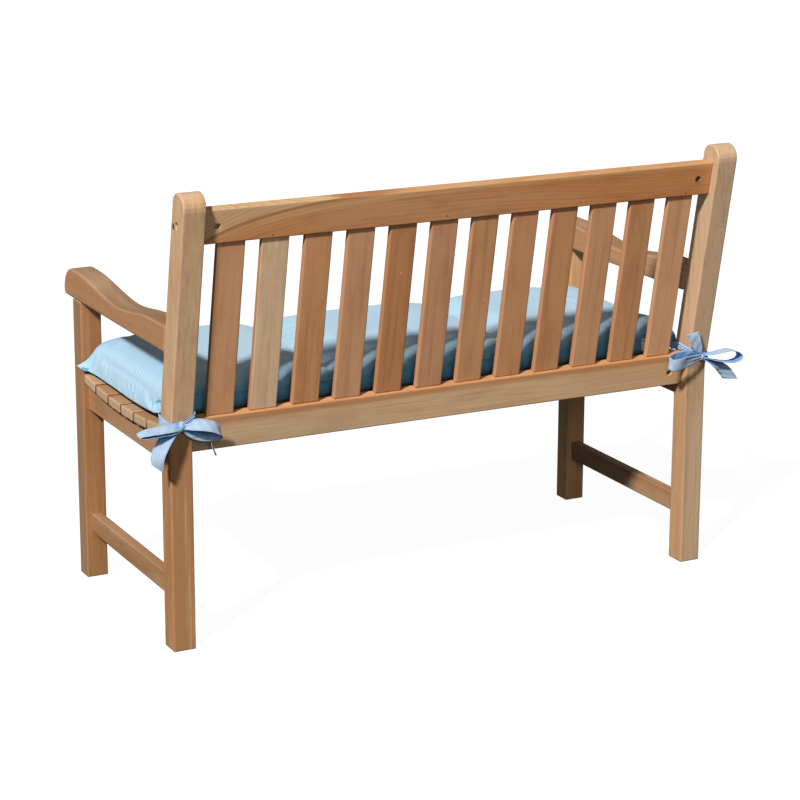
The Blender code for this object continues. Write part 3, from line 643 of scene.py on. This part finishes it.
HELD_WIDTH = 0.005        # how near a channel's middle its stitches hold the cover
SHOULDER_ANGLES = np.array((0, 0.03, 0.09, 0.18, 0.32, 0.5, 0.7, 0.9, 1.1, 1.3, 1.5))
COLUMN_STEP = 0.0092
ROW_STEP = 0.0088


def rise(distance, edge):
    """0 at the seam, rising in a round shoulder to 1."""
    width, power = edge
    share = 1 - np.clip(distance / width, 0, 1)
    return (1 - share ** power) ** (1 / power)


def cushion_surface(u, v):
    """Underside and top of the filled body, for u from right to left and v front to rear."""
    middle = (FRONT_SEAM + REAR_SEAM) / 2
    half = (REAR_SEAM - FRONT_SEAM) / 2
    u_out = np.abs(u)
    v_out = np.abs(v)
    fade = np.maximum(1 - (u_out / BULGE_END) ** BULGE_POWER, 0)
    front = v < 0
    x = u * np.where(front, HALF + EAR * v_out ** EAR_POWER,
                     HALF - CORNER_IN * v_out ** CORNER_POWERS[1])
    reach = np.where(front, half + FRONT_BULGE * fade,
                     half + REAR_BULGE * fade - CORNER_IN * u_out ** CORNER_POWERS[0])
    y = middle + v * reach
    from_end = HALF * (1 - u_out)
    from_side = half * (1 - v_out)
    seat = SEAT_LOW + SEAT_DISH * y * y + SEAT_GAP
    seam = np.interp(y, SEAM_ROWS[:, 0], SEAM_ROWS[:, 1])
    lift = EAR_LIFT * u_out ** LIFT_POWERS[0] * v_out ** LIFT_POWERS[1]
    seam = seam + np.where(front, lift, 0)
    under = rise(np.maximum(from_end - FLANGE, 0), UNDER_EDGE)
    under = under * rise(np.maximum(from_side - FLANGE, 0), UNDER_EDGE)
    sag = FLANGE_SAG * np.minimum(np.minimum(from_end, from_side), FLANGE) * (1 - under)
    bottom = seam + under * (seat - seam) - sag
    in_body = from_end - np.maximum(np.abs(x) - HALF * u_out, 0)
    end = np.where(u > 0, rise(in_body, EDGE), rise(in_body, RIGHT_EDGE))
    crown = CROWN * (1 - v * v) * (1 - RIGHT_FLAT * np.maximum(-u, 0) ** RIGHT_POWER)
    channel = sum(np.exp(-np.abs(x - centre) / CHANNEL_WIDTH) for centre in CHANNELS)
    thickness = seat + PUFF + crown - CHANNEL_DEPTH * channel - seam
    filled = end * rise(from_side, EDGE) * thickness
    ear = np.minimum(EAR_SLOPE * from_end * rise(from_side, (EAR_EDGE, EDGE[1])),
                     EAR_SLOPE * EAR)
    top = seam + np.maximum(filled, ear)
    return np.stack([x, deep(y), bottom], -1), np.stack([x, deep(y), top], -1)


def shoulder(edge):
    """Distances from the seam that step evenly round a shoulder."""
    width, power = edge
    return width * (1 - np.cos(SHOULDER_ANGLES) ** (2 / power))


def edge_stations(half, low_edge, high_edge, step):
    """Places from -1 to 1: close together on each shoulder, and a step apart between."""
    low = shoulder(low_edge)
    high = shoulder(high_edge)
    count = int((2 * half - low[-1] - high[-1]) / step)
    inside = np.linspace(-half + low[-1], half - high[-1], count + 1)[1:-1]
    return np.concatenate([-half + low, inside, (half - high)[::-1]]) / half


def arc_places(surface):
    """The cloth's own places on a surface: lengths along it from its middle."""
    places = np.zeros(surface.shape)
    for axis in (0, 1):
        steps = np.linalg.norm(np.diff(surface, axis=axis), axis=-1)
        total = np.cumsum(steps, axis=axis)
        start = np.zeros_like(np.take(total, [0], axis=axis))
        total = np.concatenate([start, total], axis=axis)
        middle = np.take(total, [total.shape[axis] // 2], axis=axis)
        places[..., axis] = total - middle
    return places


def surface_normals(surface):
    """Unit normals of a grid of points, pointing up or out."""
    along = np.gradient(surface, axis=0)
    across = np.gradient(surface, axis=1)
    normal = np.cross(along, across)
    return normal / np.maximum(np.linalg.norm(normal, axis=-1, keepdims=True), 1e-12)


SWELL_PRESSURE = 4
SWELL_FRAMES = 20
PUFF_CAP = 0.006          # how far the cloth simulation may move a point
CHANNEL_GATHERS = (0.0011, 0.027, 0.016)           # height, spacing and reach
SEAM_GATHERS = (0.0008, 0.031, 0.014)
SEAM_FADE = 0.012         # creases and gathers die away this near the seam
CREASE_END = 0.03         # share of its length at which a crease is cut off
CREASE_FADE = 0.6
# creases on the cloth's own places: a path from right to left and front to rear, half width
# and height
CREASES = (
    # left end: the line above the seam, and the corners' tucks
    (((0.577, -0.205), (0.571, -0.124), (0.569, -0.049), (0.569, 0.059), (0.577, 0.160)),
     0.0034, -0.0022),
    (((0.585, -0.200), (0.579, -0.124), (0.577, -0.049), (0.577, 0.059), (0.585, 0.150)),
     0.0050, 0.0012),
    (((0.590, 0.150), (0.582, 0.168), (0.566, 0.196)), 0.0032, -0.0044),
    (((0.597, 0.158), (0.588, 0.178), (0.574, 0.202)), 0.0040, 0.0022),
    (((0.552, -0.215), (0.562, -0.180), (0.566, -0.140)), 0.0045, -0.0020),
    # top: shallow rolls across the panels
    (((0.30, -0.12), (0.42, -0.03), (0.52, 0.08)), 0.0180, 0.0024),
    (((0.44, 0.02), (0.40, 0.10), (0.33, 0.16)), 0.0100, -0.0016),
    (((0.02, -0.10), (0.10, 0.00), (0.19, 0.12)), 0.0160, 0.0022),
    (((-0.12, -0.10), (-0.06, 0.00), (-0.05, 0.12)), 0.0100, -0.0018),
    # rear shoulder and right end: folds that climb to the right
    (((0.46, 0.236), (0.43, 0.205), (0.38, 0.175)), 0.0090, 0.0026),
    (((0.31, 0.236), (0.27, 0.200), (0.22, 0.165)), 0.0085, 0.0034),
    (((0.24, 0.238), (0.20, 0.205), (0.16, 0.185)), 0.0050, -0.0034),
    (((0.14, 0.236), (0.10, 0.200), (0.05, 0.165)), 0.0090, 0.0034),
    (((0.02, 0.238), (-0.02, 0.205), (-0.07, 0.175)), 0.0080, 0.0030),
    (((-0.10, 0.236), (-0.14, 0.200), (-0.19, 0.165)), 0.0085, 0.0036),
    (((-0.22, 0.238), (-0.27, 0.205), (-0.31, 0.165)), 0.0090, 0.0036),
    (((-0.30, 0.236), (-0.37, 0.190), (-0.43, 0.120)), 0.0100, 0.0044),
    (((-0.34, 0.200), (-0.41, 0.140), (-0.46, 0.060)), 0.0080, -0.0034),
    (((-0.37, 0.236), (-0.45, 0.190), (-0.52, 0.110)), 0.0100, 0.0048),
    (((-0.43, 0.230), (-0.50, 0.185), (-0.57, 0.110)), 0.0080, -0.0036),
    (((-0.46, 0.238), (-0.53, 0.210), (-0.60, 0.150)), 0.0080, 0.0036),
    (((-0.44, -0.14), (-0.51, -0.02), (-0.57, 0.08)), 0.0100, 0.0028),
)


def crease_heights(places):
    """How far the creases raise the cloth at its places."""
    height = np.zeros(places.shape[:-1])
    for path, width, rise_by in CREASES:
        path = np.array(path)
        runs = np.diff(path, axis=0)
        lengths = np.linalg.norm(runs, axis=1)
        starts = np.concatenate([[0], np.cumsum(lengths)])
        nearest = np.full(height.shape, np.inf)
        where = np.zeros(height.shape)
        for corner, run, length, start in zip(path, runs, lengths, starts):
            share = np.clip(((places[..., :2] - corner) @ run) / length ** 2, 0, 1)
            away = np.linalg.norm(places[..., :2] - corner - share[..., None] * run, axis=-1)
            where = np.where(away < nearest, start + share * length, where)
            nearest = np.minimum(nearest, away)
        along = np.clip(where / starts[-1], CREASE_END, 1 - CREASE_END)
        fade = np.sin(np.pi * along) ** CREASE_FADE
        height += rise_by * fade * np.exp(-(nearest / width) ** 2)
    return height


def puckers(places, surface, from_seam):
    """Short gathers that run off the seam and the channels."""
    x = surface[..., 0]
    y = surface[..., 1]
    ahead = places[..., 1]
    tall, step, reach = CHANNEL_GATHERS
    wave = np.sin(2 * np.pi * ahead / step + 2.1 * np.sin(ahead * 41))
    height = sum(tall * wave * np.exp(-np.abs(x - centre) / reach) for centre in CHANNELS)
    tall, step, reach = SEAM_GATHERS
    wave = np.sin(2 * np.pi * (x + y) / step + 2.4 * np.sin(x * 37) + 1.7 * np.sin(y * 53))
    return height + tall * wave * np.exp(-from_seam / reach)


def swell(points, faces, held):
    """Blow the cover up a little, held along its seams, and give its points."""
    mesh = bpy.data.meshes.new("swelling")
    mesh.from_pydata(points.tolist(), [], faces.tolist())
    cover = bpy.data.objects.new("swelling", mesh)
    bpy.context.scene.collection.objects.link(cover)
    group = cover.vertex_groups.new(name="held")
    for number in np.flatnonzero(held).tolist():
        group.add([number], 1.0, "REPLACE")
    cloth = cover.modifiers.new("cloth", "CLOTH")
    settings = cloth.settings
    settings.quality = 5
    settings.mass = 0.2
    settings.tension_stiffness = 12
    settings.compression_stiffness = 12
    settings.shear_stiffness = 4
    settings.bending_stiffness = 0.3
    settings.use_pressure = True
    settings.uniform_pressure_force = SWELL_PRESSURE
    settings.effector_weights.gravity = 0
    settings.vertex_group_mass = "held"
    settings.shrink_min = -0.004
    for number in range(1, SWELL_FRAMES + 1):
        bpy.context.scene.frame_set(number)
    shown = cover.evaluated_get(bpy.context.evaluated_depsgraph_get())
    moved = np.array([vertex.co for vertex in shown.data.vertices])
    bpy.data.objects.remove(cover, do_unlink=True)
    bpy.context.scene.frame_set(1)
    step = moved - points
    length = np.linalg.norm(step, axis=1, keepdims=True)
    return points + step * np.minimum(1, PUFF_CAP / np.maximum(length, 1e-9))


def closed_shell(top, under):
    """Points and faces of a top and an underside that share their rim."""
    rows, columns = top.shape[:2]
    inner = (rows - 2, columns - 2)
    upper = np.arange(rows * columns).reshape(rows, columns)
    lower = upper.copy()
    lower[1:-1, 1:-1] = upper.size + np.arange(inner[0] * inner[1]).reshape(inner)
    points = np.concatenate([top.reshape(-1, 3), under[1:-1, 1:-1].reshape(-1, 3)])
    return points, np.concatenate([grid_faces(upper), grid_faces(lower, True)])


def swollen_top(top, under):
    """The top once the cover is swollen, held along its seam and its channels."""
    points, faces = closed_shell(top, under)
    seam = np.zeros(top.shape[:2], bool)
    seam[0] = seam[-1] = seam[:, 0] = seam[:, -1] = True
    for centre in CHANNELS:
        seam |= np.abs(top[..., 0] - centre) < HELD_WIDTH
    held = np.ones(len(points), bool)
    held[:seam.size] = seam.ravel()
    return swell(points, faces, held)[:seam.size].reshape(top.shape)


def build_cushion():
    """The filled cushion: cover swollen between its seams, with creases and gathers."""
    columns = edge_stations(HALF, RIGHT_EDGE, EDGE, COLUMN_STEP)
    rows = edge_stations((REAR_SEAM - FRONT_SEAM) / 2, EDGE, EDGE, ROW_STEP)
    under, top = cushion_surface(*np.meshgrid(columns, rows, indexing="ij"))
    top = swollen_top(top, under)
    for axis in (0, 1):
        top = finer(top, axis)
        under = finer(under, axis)
    places = arc_places(top)
    right = places[..., 0]
    ahead = places[..., 1]
    from_seam = np.minimum(np.minimum(right - right[:1], right[-1:] - right),
                           np.minimum(ahead - ahead[:, :1], ahead[:, -1:] - ahead))
    height = crease_heights(places) + puckers(places, top, from_seam)
    height *= np.clip(from_seam / SEAM_FADE, 0, 1)
    top = top + surface_normals(top) * height[..., None]
    points, faces = closed_shell(top, under)
    under_places = arc_places(under)[1:-1, 1:-1]
    all_places = np.concatenate([places.reshape(-1, 3), under_places.reshape(-1, 3)])
    # the shade tone is painted shade in the cushion's hollows and on its rear shoulder behind
    # the slats
    cloth = cloth_material("cushion_cloth", (0.375, 0.55, 0.675), (0.41, 0.59, 0.70), 0.0007,
                           painted_shade_tone=(0.08, 0.29, 0.46), reach=0.09, wrinkles=WRINKLES,
                           tucks=TUCK_SHADES)
    cushion = mesh_object("cushion_cover", points, faces, all_places, cloth)
    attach(cushion, "root")
    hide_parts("cushion")
    return cushion


# ---------------- ties
RIBBON = 0.0255
RIBBON_THICK = 0.0011
RIBBON_HEM = 0.0022
PLEAT = (0.0020, 1.25)    # height, and count across a ribbon's half width
CURL = (0.0010, 0.055)    # height, and length along a ribbon
RIPPLE = (0.0004, 0.021)
STRAND_APART = 0.37       # keeps the weave of a bow's strands apart
KNOT_HALF = (0.0078, 0.0062, 0.0096)
KNOT_RADIUS = 0.008       # for the weave on a knot, which starts at the ribbon's edge
KNOT_EDGE = 0.0125
# degrees by which the end of a free end is cut askew, on each bow
TAIL_SLANT = {"first_tail": 38, "second_tail": 30}
UP_TAIL_SLANT = {"first_tail": -8, "second_tail": 38}
# ribbon sections in millimetres: x, y, z of the ribbon's middle, its width as a share of
# RIBBON, and its width's direction in degrees: from straight up where the strand runs level,
# and from +X where it runs down
OUTER_WRAP = [
    (579.5, 191.5, 457.8, 0.50, 0), (593.0, 196.5, 455.0, 0.75, 0),
    (601.6, 207.0, 452.5, 0.90, 0), (601.35, 222.0, 451.5, 0.85, 0),
    (601.35, 245.0, 451.5, 0.65, -4), (600.9, 262.5, 452.3, 0.50, -11),
    (597.2, 267.0, 452.8, 0.45, -11)]
LEFT_KNOT = (580.5, 270.2, 453.3)
LEFT_STRANDS = {
    "outer_wrap": ("level", OUTER_WRAP + [(581.0, 269.4, 453.3, 0.40, -8)]),
    "inner_wrap": ("level", [
        (551.0, 202.0, 467.0, 0.65, 0), (552.9, 225.0, 473.5, 0.80, 0),
        (553.0, 250.0, 473.5, 0.70, -4), (553.9, 268.4, 470.0, 0.50, -11),
        (561.5, 272.0, 466.0, 0.42, -11), (580.0, 270.8, 454.5, 0.36, -8)]),
    "first_loop": ("level", [
        (582.5, 271.5, 453.2, 0.55, 40), (602.1, 276.5, 453.8, 0.90, 62),
        (628.1, 281.5, 454.0, 1.00, 70), (653.2, 283.5, 453.3, 0.95, 74),
        (667.0, 283.0, 450.9, 0.85, 80), (671.1, 282.0, 447.7, 0.80, 84),
        (666.2, 281.5, 445.5, 0.85, 80), (651.3, 281.0, 446.7, 0.95, 74),
        (626.6, 279.5, 448.3, 1.00, 70), (601.4, 275.5, 448.7, 0.90, 60),
        (582.4, 270.8, 451.0, 0.50, 40)]),
    "second_loop": ("level", [
        (578.5, 271.5, 453.8, 0.55, 20), (564.2, 276.5, 454.9, 0.85, 38),
        (547.7, 281.5, 454.7, 1.00, 40), (527.9, 283.0, 450.0, 1.00, 40),
        (511.9, 281.0, 442.1, 0.95, 36), (502.8, 275.0, 433.4, 0.85, 30),
        (506.4, 268.0, 427.4, 0.85, 25), (521.5, 265.5, 426.9, 0.90, 20),
        (541.8, 265.5, 430.2, 0.90, 18), (560.8, 268.5, 437.4, 0.75, 15),
        (576.5, 270.0, 448.7, 0.45, 10)]),
    "first_tail": ("down", [
        (584.5, 270.5, 451.0, 0.40, -22), (598.0, 274.0, 446.0, 0.75, -22),
        (616.5, 280.5, 433.8, 1.00, -22), (629.1, 283.5, 416.7, 1.05, -24),
        (635.9, 284.5, 400.4, 1.05, -24), (636.5, 284.5, 381.2, 0.85, -6)]),
    "second_tail": ("down", [
        (577.5, 271.0, 449.5, 0.36, 60), (560.0, 267.5, 446.0, 0.42, 66),
        (545.0, 262.0, 441.5, 0.60, 67), (532.0, 258.0, 436.0, 0.80, 68),
        (521.0, 256.0, 424.0, 0.90, 70), (516.0, 255.0, 410.0, 0.95, 72),
        (511.4, 254.5, 396.0, 0.95, 70), (505.1, 254.0, 381.6, 0.95, 68)]),
}
RIGHT_KNOT = (-583.0, 270.2, 452.8)
RIGHT_STRANDS = {
    "outer_wrap": ("level", [(-x, *others) for x, *others in OUTER_WRAP]
                   + [(-583.0, 269.4, 453.3, 0.40, -8)]),
    "inner_wrap": ("level", [
        (-551.0, 199.5, 462.0, 0.60, 0), (-552.7, 226.0, 468.6, 0.55, 0),
        (-552.3, 250.0, 467.2, 0.54, -4), (-553.6, 268.6, 465.8, 0.45, -11),
        (-562.5, 270.8, 461.5, 0.42, -11), (-581.0, 270.4, 454.5, 0.36, -8)]),
    "first_loop": ("level", [
        (-580.7, 268.6, 454.2, 0.45, -8), (-563.5, 270.3, 457.6, 0.80, -15),
        (-537.9, 269.5, 456.7, 1.00, -15), (-515.7, 268.0, 454.0, 1.00, -12),
        (-502.0, 271.5, 450.9, 1.00, -10), (-497.7, 279.5, 447.9, 1.00, -10),
        (-502.5, 287.0, 445.5, 1.00, -10), (-517.5, 290.0, 446.3, 1.05, -12),
        (-540.1, 285.5, 449.5, 0.90, -12), (-565.8, 277.0, 451.3, 0.65, -8),
        (-581.5, 273.4, 452.5, 0.40, 0)]),
    "second_loop": ("level", [
        (-585.0, 272.0, 455.3, 0.40, 90), (-602.7, 277.5, 457.3, 0.75, 90),
        (-623.1, 279.0, 459.9, 0.95, 90), (-641.9, 279.5, 461.0, 0.95, 90),
        (-659.7, 279.5, 457.0, 0.95, 90), (-671.6, 279.5, 447.3, 0.95, 90),
        (-664.3, 279.5, 437.9, 0.95, 90), (-643.5, 279.5, 435.6, 0.95, 90),
        (-619.0, 279.0, 440.4, 0.90, 90), (-600.2, 277.0, 445.9, 0.70, 90),
        (-585.0, 272.0, 450.1, 0.40, 90)]),
    "first_tail": ("down", [
        (-581.5, 271.6, 455.2, 0.36, -22), (-574.2, 275.2, 463.7, 0.50, -14),
        (-566.0, 278.4, 476.5, 0.82, -16), (-558.4, 279.6, 491.5, 0.95, -18),
        (-551.6, 279.6, 506.8, 1.08, -12)]),
    "second_tail": ("down", [
        (-585.0, 270.6, 449.0, 0.36, 26), (-600.0, 272.8, 440.0, 0.50, 22),
        (-615.0, 274.0, 431.5, 0.70, 12), (-629.0, 273.5, 423.0, 0.90, 0),
        (-640.5, 272.5, 413.3, 1.00, -10), (-649.0, 271.5, 403.5, 1.05, -14),
        (-654.9, 271.0, 395.5, 1.05, -16)]),
}
ACROSS = 17               # points across a ribbon
ALONG = 10                # steps between two sections


def smooth_rows(rows, steps):
    """Rows of numbers with steps between each two, on a curve through all of them."""
    rows = np.array(rows, float)
    ends = np.concatenate([rows[:1], rows, rows[-1:]])
    t = np.arange(steps)[:, None] / steps
    result = []
    for a, b, c, d in zip(ends, ends[1:], ends[2:], ends[3:]):
        result.append(0.5 * (2 * b + (c - a) * t + (2 * a - 5 * b + 4 * c - d) * t ** 2
                             + (3 * b - a - 3 * c + d) * t ** 3))
    return np.concatenate([*result, rows[-1:]])


def unit(vectors):
    """Vectors at length 1."""
    return vectors / np.maximum(np.linalg.norm(vectors, axis=-1, keepdims=True), 1e-12)


def ribbon_relief(share, run, a, seed):
    """How far its pleats, curl and ripples raise a ribbon, along and across it."""
    phase = np.random.default_rng(seed).uniform(0, 2 * np.pi)
    gather = np.clip(1 - share, 0, 0.7)[:, None]
    pleat = PLEAT[0] * gather * np.cos(2 * np.pi * PLEAT[1] * a + phase)
    curl = CURL[0] * (1 - a ** 2) * np.cos(run / CURL[1] * 2 * np.pi)[:, None]
    ripple = RIPPLE[0] * np.sin(run[:, None] / RIPPLE[1] * 2 * np.pi + 3 * a + phase)
    return pleat + (curl + ripple) * (1 - np.abs(a) ** 6 * 0.4)


def ribbon_surface(kind, rows, slant, seed):
    """Points and cloth places of one strand: a strip that gathers where it is narrow."""
    path = smooth_rows(rows, ALONG)
    centre = path[:, :3] / 1000
    centre[:, 1] -= MIDDLE_Y
    share = path[:, 3]
    angle = np.radians(path[:, 4])
    zero = np.zeros_like(angle)
    tangent = unit(np.gradient(centre, axis=0))
    if kind == "down":
        wide = np.stack([np.cos(angle), np.sin(angle), zero], -1)
    else:
        wide = np.stack([zero, -np.sin(angle), np.cos(angle)], -1)
    wide = unit(wide - (wide * tangent).sum(-1, keepdims=True) * tangent)
    thick = np.cross(tangent, wide)
    a = np.linspace(-1, 1, ACROSS)
    half = share * RIBBON / 2
    run = np.concatenate([[0], np.cumsum(np.linalg.norm(np.diff(centre, axis=0), axis=1))])
    past_middle = np.maximum(2 * np.arange(len(path)) / (len(path) - 1) - 1, 0)
    skew = np.tan(math.radians(slant)) * past_middle * half
    relief = ribbon_relief(share, run, a, seed)
    points = (centre[:, None] + wide[:, None] * (half[:, None] * a)[..., None]
              - tangent[:, None] * (skew[:, None] * a)[..., None]
              + thick[:, None] * relief[..., None])
    places = np.zeros_like(points)
    places[..., 0] = a * RIBBON / 2
    places[..., 1] = run[:, None] + STRAND_APART * seed
    return points, places, run[-1]


def knot_surface(knot):
    """Points and places of the knot: a small lump with the folds of the ribbon round it."""
    middle = np.array(knot) / 1000
    middle[1] -= MIDDLE_Y
    down, turn = np.meshgrid(np.linspace(0, np.pi, 18), np.linspace(0, 2 * np.pi, 40),
                             indexing="ij")
    folds = 1 + 0.09 * np.sin(5 * turn + 1.3) * np.sin(down) ** 2
    waist = 1 - 0.10 * np.exp(-((down - 1.2) / 0.18) ** 2)
    size = folds * waist
    x = middle[0] + KNOT_HALF[0] * size * np.sin(down) * np.cos(turn)
    y = middle[1] + KNOT_HALF[1] * size * np.sin(down) * np.sin(turn)
    z = middle[2] + KNOT_HALF[2] * np.cos(down)
    places = np.stack([KNOT_RADIUS * down - KNOT_EDGE, KNOT_RADIUS * turn, 0 * turn], -1)
    return np.stack([x, y, z], -1), places


def thicken(piece, thickness):
    """Give a sheet its thickness, half to each side."""
    skin = piece.modifiers.new("thickness", "SOLIDIFY")
    skin.thickness = thickness
    skin.offset = 0.0


def build_bow(name, node, knot, strands, slants, cloth):
    """One tie: its strands and knot as one piece of thin cloth."""
    surfaces = []
    for number, (strand, (kind, rows)) in enumerate(strands.items()):
        points, places, run = ribbon_surface(kind, rows, slants.get(strand, 0.0), number + 1)
        surfaces.append((points, places))
    surfaces.append(knot_surface(knot))
    faces = []
    count = 0
    for points, _ in surfaces:
        index = count + np.arange(points[..., 0].size).reshape(points.shape[:2])
        faces.append(grid_faces(index))
        count += index.size
    points = np.concatenate([points.reshape(-1, 3) for points, _ in surfaces])
    places = np.concatenate([places.reshape(-1, 3) for _, places in surfaces])
    bow = mesh_object(name, points, np.concatenate(faces), places, cloth)
    thicken(bow, RIBBON_THICK)
    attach(bow, "root")
    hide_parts(node)


def build_bows():
    """The two ties, in one cloth."""
    # the shade tone is painted shade inside the ribbon's loops and folds
    cloth = cloth_material("tie_ribbon", (0.36, 0.475, 0.60), (0.39, 0.505, 0.63), 0.0006,
                           slub=0.35, hem=RIBBON / 2 - RIBBON_HEM,
                           painted_shade_tone=(0.07, 0.25, 0.58), reach=0.03)
    build_bow("bow_left", "tie_left", LEFT_KNOT, LEFT_STRANDS, TAIL_SLANT, cloth)
    build_bow("bow_right", "tie_right", RIGHT_KNOT, RIGHT_STRANDS, UP_TAIL_SLANT, cloth)


# ---------------- label
LABEL_THICK = 0.0008
LABEL_MARGIN = 0.005      # how far round a row of the label the cover counts as behind it
LABEL_SHIFT = 0.0055      # keeps its end in sight beside the slat
LABEL_CURL = 0.0009       # how far the sides of its top stand off
LABEL_HEM = 0.002


def build_label(cushion):
    """The blank woven label, standing on the rear seam close against the cover."""
    low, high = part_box("sewn_label")
    across, up = np.meshgrid(np.linspace(-1, 1, 25), np.linspace(0, 1, 21), indexing="ij")
    width = high.x - low.x
    tall = high.z - low.z
    middle = (low.x + high.x) / 2 + LABEL_SHIFT
    cover = np.array([vertex.co for vertex in cushion.data.vertices])
    cover = cover[np.abs(cover[:, 0] - middle) < width / 2 + LABEL_MARGIN]
    behind = []
    for height in low.z + tall * up[0]:
        behind.append(cover[np.abs(cover[:, 2] - height) < LABEL_MARGIN, 1].max())
    y = np.array(behind)[None] + LABEL_THICK + LABEL_CURL * across ** 2 * up
    points = np.stack([middle + across * width / 2, y, low.z + tall * up], -1)
    places = np.stack([across * width / 2, tall * up, 0 * up], -1)
    index = np.arange(up.size).reshape(up.shape)
    cloth = cloth_material("label_cloth", (0.84, 0.86, 0.88), (0.90, 0.91, 0.92), 0.0005,
                           slub=0.2, hem=width / 2 - LABEL_HEM)
    label = mesh_object("blank_label", points.reshape(-1, 3), grid_faces(index),
                        places.reshape(-1, 3), cloth)
    thicken(label, LABEL_THICK)
    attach(label, "root")
    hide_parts("sewn_label")


# ---------------- the whole scene
build_camera()
build_stage()
build_lights()
dress_back()
dress_base()
seat_cushion = build_cushion()
build_bows()
build_label(seat_cushion)
